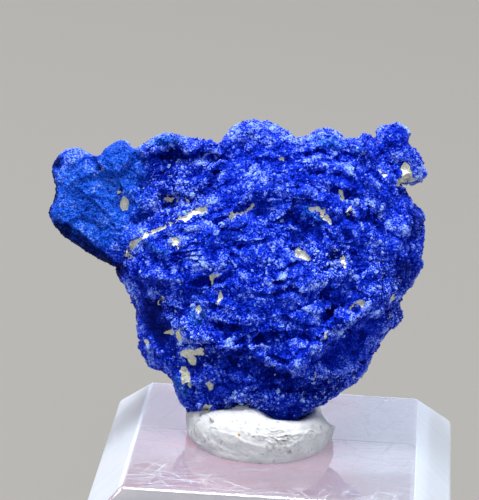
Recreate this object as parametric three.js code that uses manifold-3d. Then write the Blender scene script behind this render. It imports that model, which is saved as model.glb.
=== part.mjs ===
// An azurite specimen on its display block. The specimen is one natural piece: a domed rosette of
// crusted azurite crystals, with a flat wing grown on at its upper left and a small sprig at its
// upper right. It stands in a pad of mounting putty on a bevelled block of clear acrylic.
// Millimetres, +X right, +Y away from the viewer, +Z up. The origin is the centre of the block's
// underside.
import * as THREE from "three";
import { ConvexGeometry } from "three/addons/geometries/ConvexGeometry.js";
import { mergeVertices } from "three/addons/utils/BufferGeometryUtils.js";
import Module from "manifold-3d";

const wasm = await Module();
wasm.setup();

// Display block: square in plan, with a 45 degree bevel round its top face.
const BLOCK_WIDTH = 31.75;
const BLOCK_HEIGHT = 19.05;
const BLOCK_BEVEL = 3.4;

// Putty pad: a squashed ball of putty, flat underneath where it sticks to the block.
const PAD_CENTRE = new THREE.Vector2(-1.5, 1);
const PAD_RADIUS_X = 6.6;
const PAD_RADIUS_Y = 7.1;
const PAD_HEIGHT = 4.1;
const PAD_SINK = 1.4; // how much of the ball's height is pressed flat underneath
const PAD_SQUARENESS = 0.62; // 1 is an ellipsoid, less is a cushion
const PAD_COLUMNS = 44;
const PAD_ROWS = 16;

// Specimen frame: x runs along its width, z up its face, and -y out of its face. It leans back,
// turned and tipped a little from the block's own axes.
const SPECIMEN_AT = new THREE.Vector3(-2.15, 4.55, BLOCK_HEIGHT + 15.15);
const LEAN_BACK_DEG = 18.1;
const TURN_DEG = 3.7;
const TIP_DEG = 2.2;
const SEAT_GAP = 0.3; // clear space between the stone and the dent that it presses in the putty

// Each lump is an outline in the specimen's face, points [x, z], with a domed front and back.
const ROSETTE = {
  centre: [1, 0],
  front: 7.4,
  back: 6.4,
  frontFullness: 2.3,
  backFullness: 2.2,
  columns: 96,
  rows: 24,
  outline: [
    [14.1, 0.2], [14.5, 2.8], [14.6, 4], [13.7, 5.4], [12.6, 6.9], [11.2, 8.8], [9.4, 11.3],
    [8.1, 10.9], [6, 11.8], [3.4, 11.5], [1.2, 12.1], [-1.2, 12.8], [-2.6, 12], [-4, 10.3],
    [-6.2, 8.2], [-8.8, 6.2], [-11.2, 4], [-12.8, 1.6], [-13.3, -0.6], [-12.3, -2.2],
    [-11.3, -4.2], [-11.3, -5.6], [-10.6, -8.1], [-9.9, -9.4], [-8.2, -10.4], [-7.5, -12.2],
    [-6.4, -13.4], [-3.5, -14.3], [1.8, -14.8], [4.4, -13.8], [7, -12], [9.5, -9.4],
    [11, -7], [12.7, -4.9], [12.8, -3.1], [13.7, -2.1],
  ],
};
const WING = {
  centre: [-11.4, 5.6],
  front: 3.3,
  back: 4.2,
  frontFullness: 5,
  backFullness: 2.6,
  columns: 64,
  rows: 14,
  outline: [
    [-3.4, 6.6], [-3.2, 9], [-4.2, 10.7], [-6.2, 11], [-8.5, 11.5], [-10.2, 10.6], [-11.1, 10.2],
    [-12.6, 11], [-14, 10.4], [-14.6, 9.7], [-16.6, 10.4], [-18.4, 9.5], [-18.9, 8.2],
    [-18.6, 6.2], [-19.2, 4.5], [-18.3, 2.6], [-16.2, 1], [-14.9, 0.2], [-13, -0.7],
    [-10.6, -0.4], [-7.6, 1.4], [-4.6, 4.2],
  ],
};
const SPRIG = {
  centre: [11.7, 9.5],
  front: 2.6,
  back: 2.4,
  frontFullness: 3,
  backFullness: 2.4,
  columns: 32,
  rows: 10,
  outline: [
    [14.2, 7.3], [14.8, 7.8], [14.1, 9.4], [13.4, 10.5], [13.2, 11.6], [12.5, 12.3], [10.9, 12.1],
    [10.3, 11.3], [9.8, 9.6], [9.6, 8.2], [10.6, 7], [12.6, 6.8],
  ],
};

// Folds and hollows of the face: [x, z, radius along, radius across, turn in degrees, height].
const FACE_FOLDS = [
  [1.5, 10.6, 6.5, 1.2, -3, 1.1],
  [-8.3, 10.3, 2.4, 1, 8, 1],
  [-12.7, 9, 1.9, 1.9, 0, 0.7],
  [-8, 8.7, 2.6, 1, -4, -1.2],
  [-10.3, 3.6, 1.6, 1, 35, -0.9],
  [8.6, 8.6, 3.4, 0.9, -48, 0.7],
  [3, 6.8, 4.4, 0.8, -6, 0.7],
  [3.4, 2.2, 1.5, 1.1, 0, -1],
  [6.6, 0.8, 1.1, 0.9, 0, -0.9],
  [5.4, -7.2, 4.8, 1, 38, 0.9],
  [8.2, -7.8, 2.6, 1.1, 40, -0.9],
  [-1.5, -7.2, 4, 1.2, -6, 0.7],
  [2.6, -10.9, 5, 0.9, -8, 0.8],
  [-9, -6.6, 1.2, 2.4, 12, -1],
  [-8.6, -0.9, 3, 0.8, -8, 0.7],
];

// Knobbly relief of the whole crust.
const KNOB_SPACING = 2.3;
const KNOB_HEIGHT = 0.4;

// A repeatable random number from 0 to 1 for a point of the whole-number lattice.
function latticeValue(x, y, z) {
  const wave = Math.sin(x * 127.1 + y * 311.7 + z * 74.7) * 43758.5453;
  return wave - Math.floor(wave);
}

// Smooth noise from -1 to 1: lattice values blended across each cell.
function smoothNoise(point, spacing) {
  const p = point.clone().divideScalar(spacing);
  const cell = p.clone().floor();
  const f = p.sub(cell);
  const blend = f.toArray().map((v) => v * v * (3 - 2 * v));
  let sum = 0;
  for (let corner = 0; corner < 8; corner++) {
    const offset = [corner & 1, (corner >> 1) & 1, (corner >> 2) & 1];
    const weight = offset.reduce((w, o, axis) => w * (o ? blend[axis] : 1 - blend[axis]), 1);
    sum += weight * latticeValue(cell.x + offset[0], cell.y + offset[1], cell.z + offset[2]);
  }
  return 2 * sum - 1;
}

// Height that the folds and hollows add to the face at x, z.
function foldHeight(x, z) {
  let height = 0;
  for (const [fx, fz, along, across, turn, rise] of FACE_FOLDS) {
    const angle = THREE.MathUtils.degToRad(turn);
    const a = ((x - fx) * Math.cos(angle) + (z - fz) * Math.sin(angle)) / along;
    const b = ((z - fz) * Math.cos(angle) - (x - fx) * Math.sin(angle)) / across;
    height += rise * Math.exp(-(a * a + b * b));
  }
  return height;
}

// A closed surface on a grid of rows from pole to pole and columns round, from pointAt(u, v) with
// u from 0 to 1 round and v from 0 to 1 pole to pole. Seen from outside the first pole, u runs
// counterclockwise, so that the faces point out.
function closedGrid(columns, rows, pointAt) {
  const points = [pointAt(0, 0)];
  for (let row = 1; row < rows; row++) {
    for (let column = 0; column < columns; column++) points.push(pointAt(column / columns, row / rows));
  }
  points.push(pointAt(0, 1));
  const last = points.length - 1;
  const at = (row, column) => 1 + (row - 1) * columns + (column % columns);
  const index = [];
  for (let column = 0; column < columns; column++) {
    index.push(0, at(1, column), at(1, column + 1));
    index.push(last, at(rows - 1, column + 1), at(rows - 1, column));
    for (let row = 1; row < rows - 1; row++) {
      index.push(at(row, column), at(row + 1, column), at(row + 1, column + 1));
      index.push(at(row, column), at(row + 1, column + 1), at(row, column + 1));
    }
  }
  const geometry = new THREE.BufferGeometry().setFromPoints(points);
  geometry.setIndex(index);
  return geometry;
}

// One lump of the specimen. Rows run from the middle of the front over the outline to the middle of
// the back. Inner rings are smoother copies of the outline, so its notches fade inwards.
function lumpGeometry(lump) {
  const [cx, cz] = lump.centre;
  const rim = new THREE.CatmullRomCurve3(
    lump.outline.map(([x, z]) => new THREE.Vector3(x - cx, 0, z - cz)), true, "centripetal");
  const edge = rim.getSpacedPoints(lump.columns).slice(0, lump.columns);
  const reach = Math.round(lump.columns / 14);
  const smooth = edge.map((_, i) => {
    const sum = new THREE.Vector3();
    for (let k = -reach; k <= reach; k++) sum.add(edge[(i + k + lump.columns) % lump.columns]);
    return sum.divideScalar(2 * reach + 1);
  });
  const pointAt = (u, v) => {
    const polar = v * Math.PI;
    const ring = Math.sin(polar);
    const column = Math.round(u * lump.columns) % lump.columns;
    const point = smooth[column].clone().lerp(edge[column], ring ** 4).multiplyScalar(ring);
    point.add(new THREE.Vector3(cx, 0, cz));
    const isFront = v < 0.5;
    const fullness = isFront ? lump.frontFullness : lump.backFullness;
    const depth = (1 - ring ** fullness) ** (1 / fullness);
    const fold = isFront ? foldHeight(point.x, point.z) * Math.min(1, 3 * depth) : 0;
    point.y = isFront ? -(lump.front * depth + fold) : lump.back * depth;
    return point;
  };
  const geometry = closedGrid(lump.columns, lump.rows, pointAt);
  return movedOut(geometry, (point) => KNOB_HEIGHT * smoothNoise(point, KNOB_SPACING));
}

// Moves each vertex out along its normal by distanceAt(vertex).
function movedOut(geometry, distanceAt) {
  geometry.computeVertexNormals();
  const position = geometry.getAttribute("position");
  const normal = geometry.getAttribute("normal");
  const point = new THREE.Vector3();
  const direction = new THREE.Vector3();
  for (let i = 0; i < position.count; i++) {
    point.fromBufferAttribute(position, i);
    direction.fromBufferAttribute(normal, i);
    point.addScaledVector(direction, distanceAt(point));
    position.setXYZ(i, point.x, point.y, point.z);
  }
  return geometry;
}

// A geometry as a manifold-3d solid, and back.
function solidOf(geometry) {
  const bare = new THREE.BufferGeometry().setAttribute("position", geometry.getAttribute("position"));
  bare.setIndex(geometry.index);
  const merged = mergeVertices(bare, 1e-4);
  return new wasm.Manifold(new wasm.Mesh({
    numProp: 3,
    vertProperties: new Float32Array(merged.getAttribute("position").array),
    triVerts: new Uint32Array(merged.index.array),
  }));
}

function geometryOf(solid) {
  const mesh = solid.getMesh();
  const geometry = new THREE.BufferGeometry();
  geometry.setAttribute("position", new THREE.BufferAttribute(mesh.vertProperties, 3));
  geometry.setIndex(new THREE.BufferAttribute(mesh.triVerts, 1));
  geometry.computeVertexNormals();
  return geometry;
}

// The three lumps grown together as one solid, in the specimen's own frame.
function specimenGeometry() {
  const [rosette, wing, sprig] = [ROSETTE, WING, SPRIG].map((lump) => solidOf(lumpGeometry(lump)));
  return geometryOf(rosette.add(wing).add(sprig));
}

// The pad: a cushion-shaped ball pressed flat on the block, less the dent of the seated specimen.
function puttyGeometry(seatedSpecimen) {
  const cushion = (value) => Math.sign(value) * Math.abs(value) ** PAD_SQUARENESS;
  const pointAt = (u, v) => {
    const around = u * 2 * Math.PI;
    const polar = v * Math.PI;
    const ring = cushion(Math.sin(polar));
    const height = (PAD_HEIGHT + PAD_SINK) * 0.5 * (1 + cushion(Math.cos(polar))) - PAD_SINK;
    return new THREE.Vector3(
      PAD_CENTRE.x + PAD_RADIUS_X * ring * Math.cos(around),
      PAD_CENTRE.y + PAD_RADIUS_Y * ring * Math.sin(around),
      BLOCK_HEIGHT + Math.max(0, height),
    );
  };
  const pad = solidOf(closedGrid(PAD_COLUMNS, PAD_ROWS, pointAt));
  return geometryOf(pad.subtract(solidOf(movedOut(seatedSpecimen, () => SEAT_GAP))));
}

// The block: the hull of its underside, its bevel's lower edge and its top face.
function blockGeometry() {
  const half = BLOCK_WIDTH / 2;
  const levels = [[half, 0], [half, BLOCK_HEIGHT - BLOCK_BEVEL], [half - BLOCK_BEVEL, BLOCK_HEIGHT]];
  const corners = levels.flatMap(([reach, z]) =>
    [[1, 1], [-1, 1], [-1, -1], [1, -1]].map(([x, y]) => new THREE.Vector3(x * reach, y * reach, z)));
  return new ConvexGeometry(corners);
}

const azuriteBlue = new THREE.MeshStandardMaterial({ color: 0x1f45c8, roughness: 0.45, metalness: 0 });
const puttyWhite = new THREE.MeshStandardMaterial({ color: 0xcfd0d4, roughness: 0.8, metalness: 0 });
const clearAcrylic = new THREE.MeshStandardMaterial({
  color: 0xe6e4f2, roughness: 0.08, metalness: 0, transparent: true, opacity: 0.4,
});

const specimen = new THREE.Mesh(specimenGeometry(), azuriteBlue);
specimen.name = "azurite_specimen";
const leaning = new THREE.Group();
leaning.position.copy(SPECIMEN_AT);
leaning.rotation.set(...[-LEAN_BACK_DEG, -TIP_DEG, TURN_DEG].map(THREE.MathUtils.degToRad), "ZXY");
leaning.add(specimen);
leaning.updateMatrixWorld(true);

const putty = new THREE.Mesh(
  puttyGeometry(specimen.geometry.clone().applyMatrix4(specimen.matrixWorld)), puttyWhite);
putty.name = "putty_pad";

const block = new THREE.Mesh(blockGeometry(), clearAcrylic);
block.name = "display_block";

const part = new THREE.Group();
part.add(block, putty, leaning);

export default part;
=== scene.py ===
"""An azurite specimen seated in putty on a bevelled clear block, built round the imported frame.

The stone is worked out in its own frame, in millimetres: x along its width, z up its face and -y
out of the face. It is turned and moved into the row frame as it becomes a mesh. Its crust is a set
of closed domed surfaces, and small joined crystals grow on them.
"""

import math

import bpy
import numpy as np
from bpy.props import FloatProperty, FloatVectorProperty, IntProperty, PointerProperty
from bpy.types import Operator, Panel, PropertyGroup
from mathutils import Matrix, Vector


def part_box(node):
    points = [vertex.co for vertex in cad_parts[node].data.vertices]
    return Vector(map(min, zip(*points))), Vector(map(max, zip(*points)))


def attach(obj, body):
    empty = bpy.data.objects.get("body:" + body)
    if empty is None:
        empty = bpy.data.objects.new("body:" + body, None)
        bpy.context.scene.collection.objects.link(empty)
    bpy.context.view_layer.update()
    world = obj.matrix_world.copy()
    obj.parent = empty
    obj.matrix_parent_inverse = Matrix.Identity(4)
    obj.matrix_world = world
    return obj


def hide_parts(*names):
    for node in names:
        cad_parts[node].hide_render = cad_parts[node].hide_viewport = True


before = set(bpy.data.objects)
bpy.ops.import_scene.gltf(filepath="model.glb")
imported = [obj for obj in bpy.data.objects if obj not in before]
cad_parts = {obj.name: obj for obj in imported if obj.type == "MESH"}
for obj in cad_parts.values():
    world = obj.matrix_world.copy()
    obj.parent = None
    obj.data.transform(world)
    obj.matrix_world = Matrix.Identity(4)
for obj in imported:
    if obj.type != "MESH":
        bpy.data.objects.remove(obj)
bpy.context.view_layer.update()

bl_info = {
    "name": "Azurite Specimen",
    "version": (1, 0, 0),
    "blender": (4, 5, 0),
    "location": "View3D > Sidebar > Azurite",
    "description": "Builds an azurite specimen on its display block",
    "category": "Add Mesh",
}

MM = 0.001


class Channel:
    """Channels of the repeatable noise: at one size, the same channel gives the same noise."""

    WANDER = 31
    RAGGED = 41
    BROKEN_CRACKS = 45
    SHELVES = 51
    SHELF_GAPS = 57
    BACK_CLAY = 61
    WARP = 71
    KNOBS = 80
    SWELLING = 100
    BROAD_FACES = 110
    FINE_GRIT = 130
    NARROW_FACES = 140
    PATCHY_GRIT = 170
    TINY_FACES = 180
    PUTTY_LUMPS = 200
    PUTTY_DENTS = 203
    PUTTY_CREASES = 210
    PUTTY_CREASED = 215
    PUTTY_TORN = 220


# Places that the frame gives, in millimetres.
BLOCK_LOW, BLOCK_HIGH = (np.array(corner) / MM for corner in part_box("display_block"))
PAD_LOW, PAD_HIGH = (np.array(corner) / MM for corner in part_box("putty_pad"))
BLOCK_TOP = BLOCK_HIGH[2]

# The stone's frame: where its middle is, how it leans back, and how it is turned and tipped.
SPECIMEN_AT = np.array([-2.15, 4.55, BLOCK_TOP + 15.15])
LEAN_BACK, TURN, TIP = (math.radians(angle) for angle in (18.1, 3.7, 2.2))
FACING = np.array(
    Matrix.Rotation(TURN, 3, "Z") @ Matrix.Rotation(-LEAN_BACK, 3, "X") @ Matrix.Rotation(-TIP, 3, "Y")
)
CAMERA_FROM_STONE = (-2.0, -238.5, 1.07)  # in the stone's frame, mm

# Each lump is an outline in the stone's face, points (x, z), with a domed front and back.
ROSETTE = {
    "centre": (1, 0),
    "front": 7.2,
    "back": 6.2,
    "front_fullness": 2.3,
    "back_fullness": 2.2,
    "outline": [
        (14.1, 0.2), (14.5, 2.8), (14.6, 4), (13.7, 5.4), (12.6, 6.9), (11.2, 8.8), (9.4, 11.3),
        (8.1, 10.9), (6, 11.8), (3.4, 11.5), (1.2, 12.1), (-1.2, 12.8), (-2.6, 12), (-4, 10.3),
        (-6.2, 8.2), (-8.8, 6.2), (-11.2, 4), (-12.8, 1.6), (-13.3, -0.6), (-12.3, -2.2),
        (-11.3, -4.2), (-11.3, -5.6), (-10.6, -8.1), (-9.9, -9.4), (-8.2, -10.4), (-7.5, -12.2),
        (-6.4, -13.4), (-3.5, -14.3), (1.8, -14.8), (4.4, -13.8), (7, -12), (9.5, -9.4),
        (11, -7), (12.7, -4.9), (12.8, -3.1), (13.7, -2.1),
    ],
}
WING = {
    "centre": (-11.4, 5.6),
    "front": 3.3,
    "back": 4.1,
    "smooth_back": True,
    "front_fullness": 5,
    "back_fullness": 2.6,
    "outline": [
        (-3.4, 6.6), (-3.2, 9), (-4.2, 10.7), (-6.2, 11), (-8.5, 11.5), (-10.2, 10.6),
        (-11.1, 10.2), (-12.6, 11), (-14, 10.4), (-14.6, 9.7), (-16.6, 10.4), (-18.4, 9.5),
        (-18.9, 8.2), (-18.6, 6.2), (-19.2, 4.5), (-18.3, 2.6), (-16.2, 1), (-14.9, 0.2),
        (-13, -0.7), (-10.6, -0.4), (-7.6, 1.4), (-4.6, 4.2),
    ],
}
SPRIG = {
    "centre": (11.7, 9.5),
    "front": 2.6,
    "back": 2.4,
    "front_fullness": 3,
    "back_fullness": 2.4,
    "outline": [
        (14.2, 7.3), (14.8, 7.8), (14.1, 9.4), (13.4, 10.5), (13.2, 11.6), (12.5, 12.3),
        (10.9, 12.1), (10.3, 11.3), (9.8, 9.6), (9.6, 8.2), (10.6, 7), (12.6, 6.8),
    ],
}
INSET = 0.32  # room under the outline for the grains and crystals
SHELL_OVERLAP = 0.11  # how far past the rim a front or back runs on, as a part of a quarter turn
SHELL_TUCK = 0.35  # how deep that extra strip dives under the other side
EVENNESS = 0.28  # how much closer the grid's points stand at the middle of a dome than at its rim
RIM_POINTS = 720  # points round a lump's outline
RIM_BLUR = RIM_POINTS // 14  # points to each side that the inner, smoother outline is averaged over
RELIEF_REACH = 0.86  # how far out the face's relief keeps its full height, as a part of a quarter turn

# The crust's shells: lump, side (-1 front, 1 back), points along each side of the grid.
SHELL_GRIDS = {
    "rosette_front": (ROSETTE, -1, 420),
    "rosette_back": (ROSETTE, 1, 270),
    "wing_front": (WING, -1, 280),
    "wing_back": (WING, 1, 130),
    "sprig_front": (SPRIG, -1, 150),
    "sprig_back": (SPRIG, 1, 100),
}

# Numbers that each point of the crust keeps for its finish.
CRUST_NUMBERS = ("proud", "calm", "clay", "azure", "painted_shade", "glint", "grain")
PROUD_NEAR = (0.28, 0.11)  # reach of the close average, and the usual height over it
PROUD_WIDE = (1.1, 0.5)  # the same for the wide average

# Broken crystal faces of the crust, in three sizes. size is times the grain size, creases how deep
# the lines between faces are, domed how round they are, rise times the grain height, calmed how much
# of it smooth places lose, and shade their share of each grain's shade.
BROAD_FACES = {
    "channel": Channel.BROAD_FACES,
    "size": 2.1, "creases": 0.1, "domed": 1, "rise": 0.7, "calmed": 0.85, "shade": 0.45,
}
NARROW_FACES = {
    "channel": Channel.NARROW_FACES,
    "size": 1, "creases": 0.2, "domed": 0.5, "rise": 0.5, "calmed": 0.6, "shade": 0.3,
}
TINY_FACES = {
    "channel": Channel.TINY_FACES,
    "size": 0.45, "creases": 0.3, "domed": 0, "rise": 0.28, "calmed": 0.2, "shade": 0.25,
}
KNOB_STRETCH = (0.75, 1, 1.1)  # the knobs are wider than they are high
KNOB_CALMED = 0.85  # how much of their height smooth places lose
SWELLING = (0.25, 3.4)  # height and size of the broad swelling under the knobs
WARP = (0.2, 1.7)  # how far noise bends the knobs and faces, and over what distance
CLAY_SINK = 0.26  # how deep the clay lies below the crust

# Small crystals on the crust. Pairs are the least and the most.
CRYSTAL_LEAN = 0.8  # spread of the random vector that leans each one away from the normal
CRYSTAL_SPREAD = 0.42  # spread of the logarithm of their size
CRYSTAL_SIZES = (0.4, 2)  # as parts of the usual size
CRYSTAL_FLATNESS = (0.4, 0.95)  # thickness over width
CRYSTAL_LENGTH = (0.8, 1.5)  # length over width
CRYSTAL_UNEVENNESS = (0.75, 1.25)  # how far each corner is moved in or out
CRYSTAL_DEPTH = (0.15, 0.55)  # how far the middle is sunk below the crust, as a part of the length

# A ledge's shape: how soft its edge is, depth, distance and half width of the groove at its foot,
# and how softly it ends.
FACE_LEDGE = (0.12, 0.45, 0.3, 0.28, 0.5)
PUTTY_LEDGE = (0.16, 0.5, 0.15, 0.15, 0.4)

# Rolls and blades of the face: half width, height, points (x, z).
RIDGES = [
    (0.9, 0.9, [(-3.2, 10.6), (-1.2, 11.7), (1, 11), (3.5, 10.9), (6.5, 11.1), (8.6, 10)]),
    (0.8, 0.9, [(-10.4, 10.3), (-8.4, 10.9), (-6.8, 10.5)]),
    (0.5, 0.5, [(-5.8, 10.3), (-4.4, 10.2)]),
    (0.9, 0.5, [(-12.9, 8.2), (-12.2, 6.1)]),
    (0.7, 0.5, [(4, 8.6), (6.8, 8.3), (8.6, 7.2), (10.2, 5)]),
    (0.6, 0.5, [(9, 9.9), (10.7, 7.6), (12.3, 5), (13.2, 2.5)]),
    (0.6, 0.5, [(-0.6, 6.2), (2.2, 6.4), (4.6, 5.7), (6.8, 4.6)]),
    (0.25, 0.45, [(3.5, 4.4), (4.4, 4.05), (5.2, 3.7)]),
    (0.4, 0.8, [(-11, 2.2), (-9.9, 1.6), (-8.4, 0.5)]),
    (0.6, 0.6, [(-11.6, -1.2), (-9.2, -1.3), (-6.8, -1.9)]),
    (0.8, 0.7, [(-7, -5.6), (-5.5, -6.6), (-3.2, -7.4)]),
    (0.9, 0.9, [(2.8, -8.6), (5.3, -6.9), (7.7, -4.8), (9.6, -3.2), (11.2, -2.6)]),
    (0.7, 0.5, [(-2.5, -7.4), (0.5, -8.2), (3, -9.3), (6, -9.7), (8.2, -9)]),
    (0.5, 0.5, [(2.5, -12.7), (5, -12.4), (6.5, -11.9)]),
]

# Shelves that stand out above a sharp lower edge: width, height, points (x, z) from left to right.
LEDGES = [
    (0.8, 0.22, [(-0.2, 9), (0.9, 9.1), (2.7, 9.5), (4.7, 9.8)]),
    (0.4, 0.15, [(3.9, 11.1), (5, 10.8), (6.1, 10.4), (8, 9.6)]),
    (0.8, 0.55, [(-10.4, 9.5), (-8.4, 9.9), (-6.4, 9.6)]),
    (0.5, 0.5, [(-5.9, 9.8), (-4.2, 9.7)]),
    (0.6, 0.18, [(-0.9, 5.4), (1.5, 5.3), (3.1, 5.2)]),
    (0.6, 0.25, [(5.6, 7), (7.6, 6.2), (9, 4.6)]),
    (0.5, 0.5, [(-8.8, 6), (-7.5, 6.1), (-6.4, 5.8)]),
    (0.6, 0.35, [(-11.6, -1.9), (-9.4, -2.1), (-7, -2.5)]),
    (0.4, 0.3, [(-3.5, -5.3), (-1.3, -5.4)]),
    (0.5, 0.22, [(-1.4, -7), (0.2, -6.1), (2, -6.2), (4.2, -6)]),
    (0.8, 0.45, [(3.6, -9), (6.2, -7.4), (8.6, -5.3), (10.6, -4.3)]),
    (0.6, 0.12, [(-17.4, 3.2), (-16.2, 4), (-15.2, 3.7), (-13.8, 3.1)]),
    (0.5, 0.2, [(-16.4, 7.2), (-15.2, 7.5), (-14.2, 7.6)]),
    (0.4, 0.12, [(-16.6, 6.6), (-15.2, 5.7), (-13.9, 4.4), (-13.2, 3)]),
    (0.5, 0.4, [(-10.6, -3.2), (-8.2, -3.9)]),
]

# Grooves between folds: half width, depth, points (x, z).
GROOVES = [
    (0.45, 0.35, [(-4.3, 0.2), (-3.8, 2), (-2.4, 3.6), (-0.4, 4.4), (1.8, 4.2), (3.8, 3), (5, 2.2)]),
    (0.4, 0.5, [(-1.8, 10.4), (-3, 9.4), (-3.9, 8), (-4.7, 6.3), (-6, 5.2)]),
    (0.7, 0.4, [(-6, -8.5), (-4.4, -8.4), (-2.8, -8.6), (-1.2, -9), (0.4, -9.8)]),
    (0.7, 0.45, [(0.4, -9.8), (2.2, -10.8), (4.2, -11.4), (6.6, -11.2)]),
    (0.5, 0.5, [(11, -5), (9.3, -5.6), (7.6, -6.9), (6.2, -8), (5, -9.2)]),
    (0.35, 0.4, [(7.7, -1.9), (6.4, -3.6), (5.2, -5.2)]),
    (0.35, 0.4, [(-11.1, -1.8), (-8, -2), (-5, -1.7), (-3, -1.3)]),
    (0.3, 0.35, [(3.2, 6.6), (5.5, 6.5), (7.8, 6.1), (9.4, 5.2)]),
    (0.3, 0.35, [(4, 7.8), (6.5, 7.4), (8.8, 6.8)]),
    (0.35, 0.4, [(10.2, 7.6), (11.6, 5.6), (12.4, 3.6)]),
    (0.35, 0.35, [(7.2, 2.6), (8.4, 0.6), (8.6, -1.4)]),
]

# Knobs and hollows of the face: x, z, radius along, radius across, turn in degrees, height.
BUMPS = [
    (-1.2, 12, 1.3, 1, 0, 0.8),
    (-1.3, 10.2, 0.7, 0.5, 0, 0.5),
    (0, 7.2, 1.2, 0.9, 0, 0.6),
    (-5.3, 8.6, 0.9, 0.7, 0, 0.6),
    (-17, 9.4, 1.2, 1, 0, 0.4),
    (5.5, -1.7, 1.3, 1, 0, 0.5),
    (-8.7, 3.2, 1.2, 0.9, 20, 0.4),
    (0, -3, 3.2, 2, 0, 0.5),
    (1, -12.9, 1.6, 1, 0, 0.6),
    (-6.2, -12, 0.9, 0.9, 0, 0.5),
    (7.7, -0.8, 1, 1, 0, 0.4),
    (2.4, -1.6, 1, 0.8, 0, 0.3),
    (9.9, 1.9, 1, 0.9, 0, 0.4),
    (11.8, 1, 1, 1, 0, 0.4),
    (-8, 9.3, 1.9, 0.9, -5, -0.45),
    (-10.7, 4, 1.1, 0.6, 35, -0.5),
    (-12.2, 5.1, 0.65, 0.65, 0, -0.5),
    (-7.5, 5.3, 1, 0.35, 0, -0.5),
    (3.1, 2.2, 1.1, 0.6, -15, -0.25),
    (3.4, 0.6, 0.8, 0.5, -30, -0.3),
    (6.5, 0.7, 0.8, 0.5, -20, -0.5),
    (-8.9, -6, 0.9, 2.4, 30, -0.9),
    (7.8, -7.6, 2.6, 1, 40, -0.5),
    (-2.5, -12.7, 1.1, 0.45, 0, -0.9),
    (-6.2, -8.3, 0.8, 0.5, 0, -0.25),
    (-4.8, -10.8, 0.7, 0.6, 0, -0.5),
    (-1.5, 4.6, 0.9, 0.4, 30, -0.4),
    (12.9, 7.4, 1, 0.8, 0, 0.7),
    (12.1, 10.9, 0.9, 1.4, -20, 0.35),
    (-0.5, -8.2, 1.6, 0.35, -10, 0.3),
    (3.2, -12.2, 1.2, 0.35, 10, 0.35),
    (8.3, -3.7, 0.8, 0.3, 30, -0.4),
]

# A flat-topped disc: x, z, radius, height.
BUTTON = (-13.1, 9.3, 1.75, 0.7)

# Growth shelves: thin layers round the face's middle, each with its sharp edge turned down.
SHELF_MIDDLE = (1, 0.5)
SHELF_SPACING = 1.55
SHELF_HEIGHT = 0.38
SHELF_FLATNESS = 0.55  # height of a shelf's oval round the middle as a part of its width
SHELF_BEND = (0.75, 4.2)  # how far noise bends the shelves, in spacings, and over what distance
SHELF_GAPS = 2.1  # distance over which the shelves come and go

# Places with loose glinting crystals, where the finish also paints stronger specks and lighter crystals as
# painted glints: x, z, radius along, radius across, turn in degrees.
GLINT_PATCHES = [
    (-8.6, 5.4, 3.9, 3.1, 15),
    (-6.5, -6.5, 2, 4.5, 15),
    (5.8, 0, 2.2, 1.6, 0),
    (-1, -12.6, 4, 1.2, 0),
    (11.5, -3, 1.5, 4, 20),
    (6, -11, 3, 1.6, 25),
]

# Smooth places, where few crystals stand: x, z, radius along, radius across, turn in degrees.
SMOOTH_PATCHES = [
    (-16, 5.3, 4.6, 6.4, 0),
    (-13, 9.1, 1.9, 1.9, 0),
    (-12.3, 6.6, 0.9, 1.4, 10),
    (-9.2, 3.1, 0.9, 0.7, 0),
    (-8.9, -6.2, 0.9, 2.2, 30),
    (-6, -9.3, 0.9, 0.9, 0),
    (2.4, -12.9, 1.2, 0.8, 0),
    (7.8, -7.8, 2.6, 1.1, 40),
    (12.3, 10.9, 0.8, 1.3, -20),
    (-0.3, -3.9, 2, 1.2, -5),
    (13.9, 8.3, 0.8, 0.6, -50),
]

# Places of a lighter, greener azure: x, z, radius along, radius across, turn in degrees.
AZURE_PATCHES = [
    (-15.4, 5.2, 4.4, 4.4, 0),
    (-12.6, 8.4, 2.2, 3, 0),
    (6, 10.6, 1.5, 0.5, -5),
    (8.1, 9.9, 0.5, 0.3, -40),
    (4.4, 4.1, 1.2, 0.3, -30),
    (-9.8, 1.4, 1.6, 0.35, -35),
    (-5.7, -4.6, 0.7, 0.8, 0),
    (-7.2, -11, 0.5, 1, 20),
    (-8.6, 10.8, 1.5, 0.6, 0),
]
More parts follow.
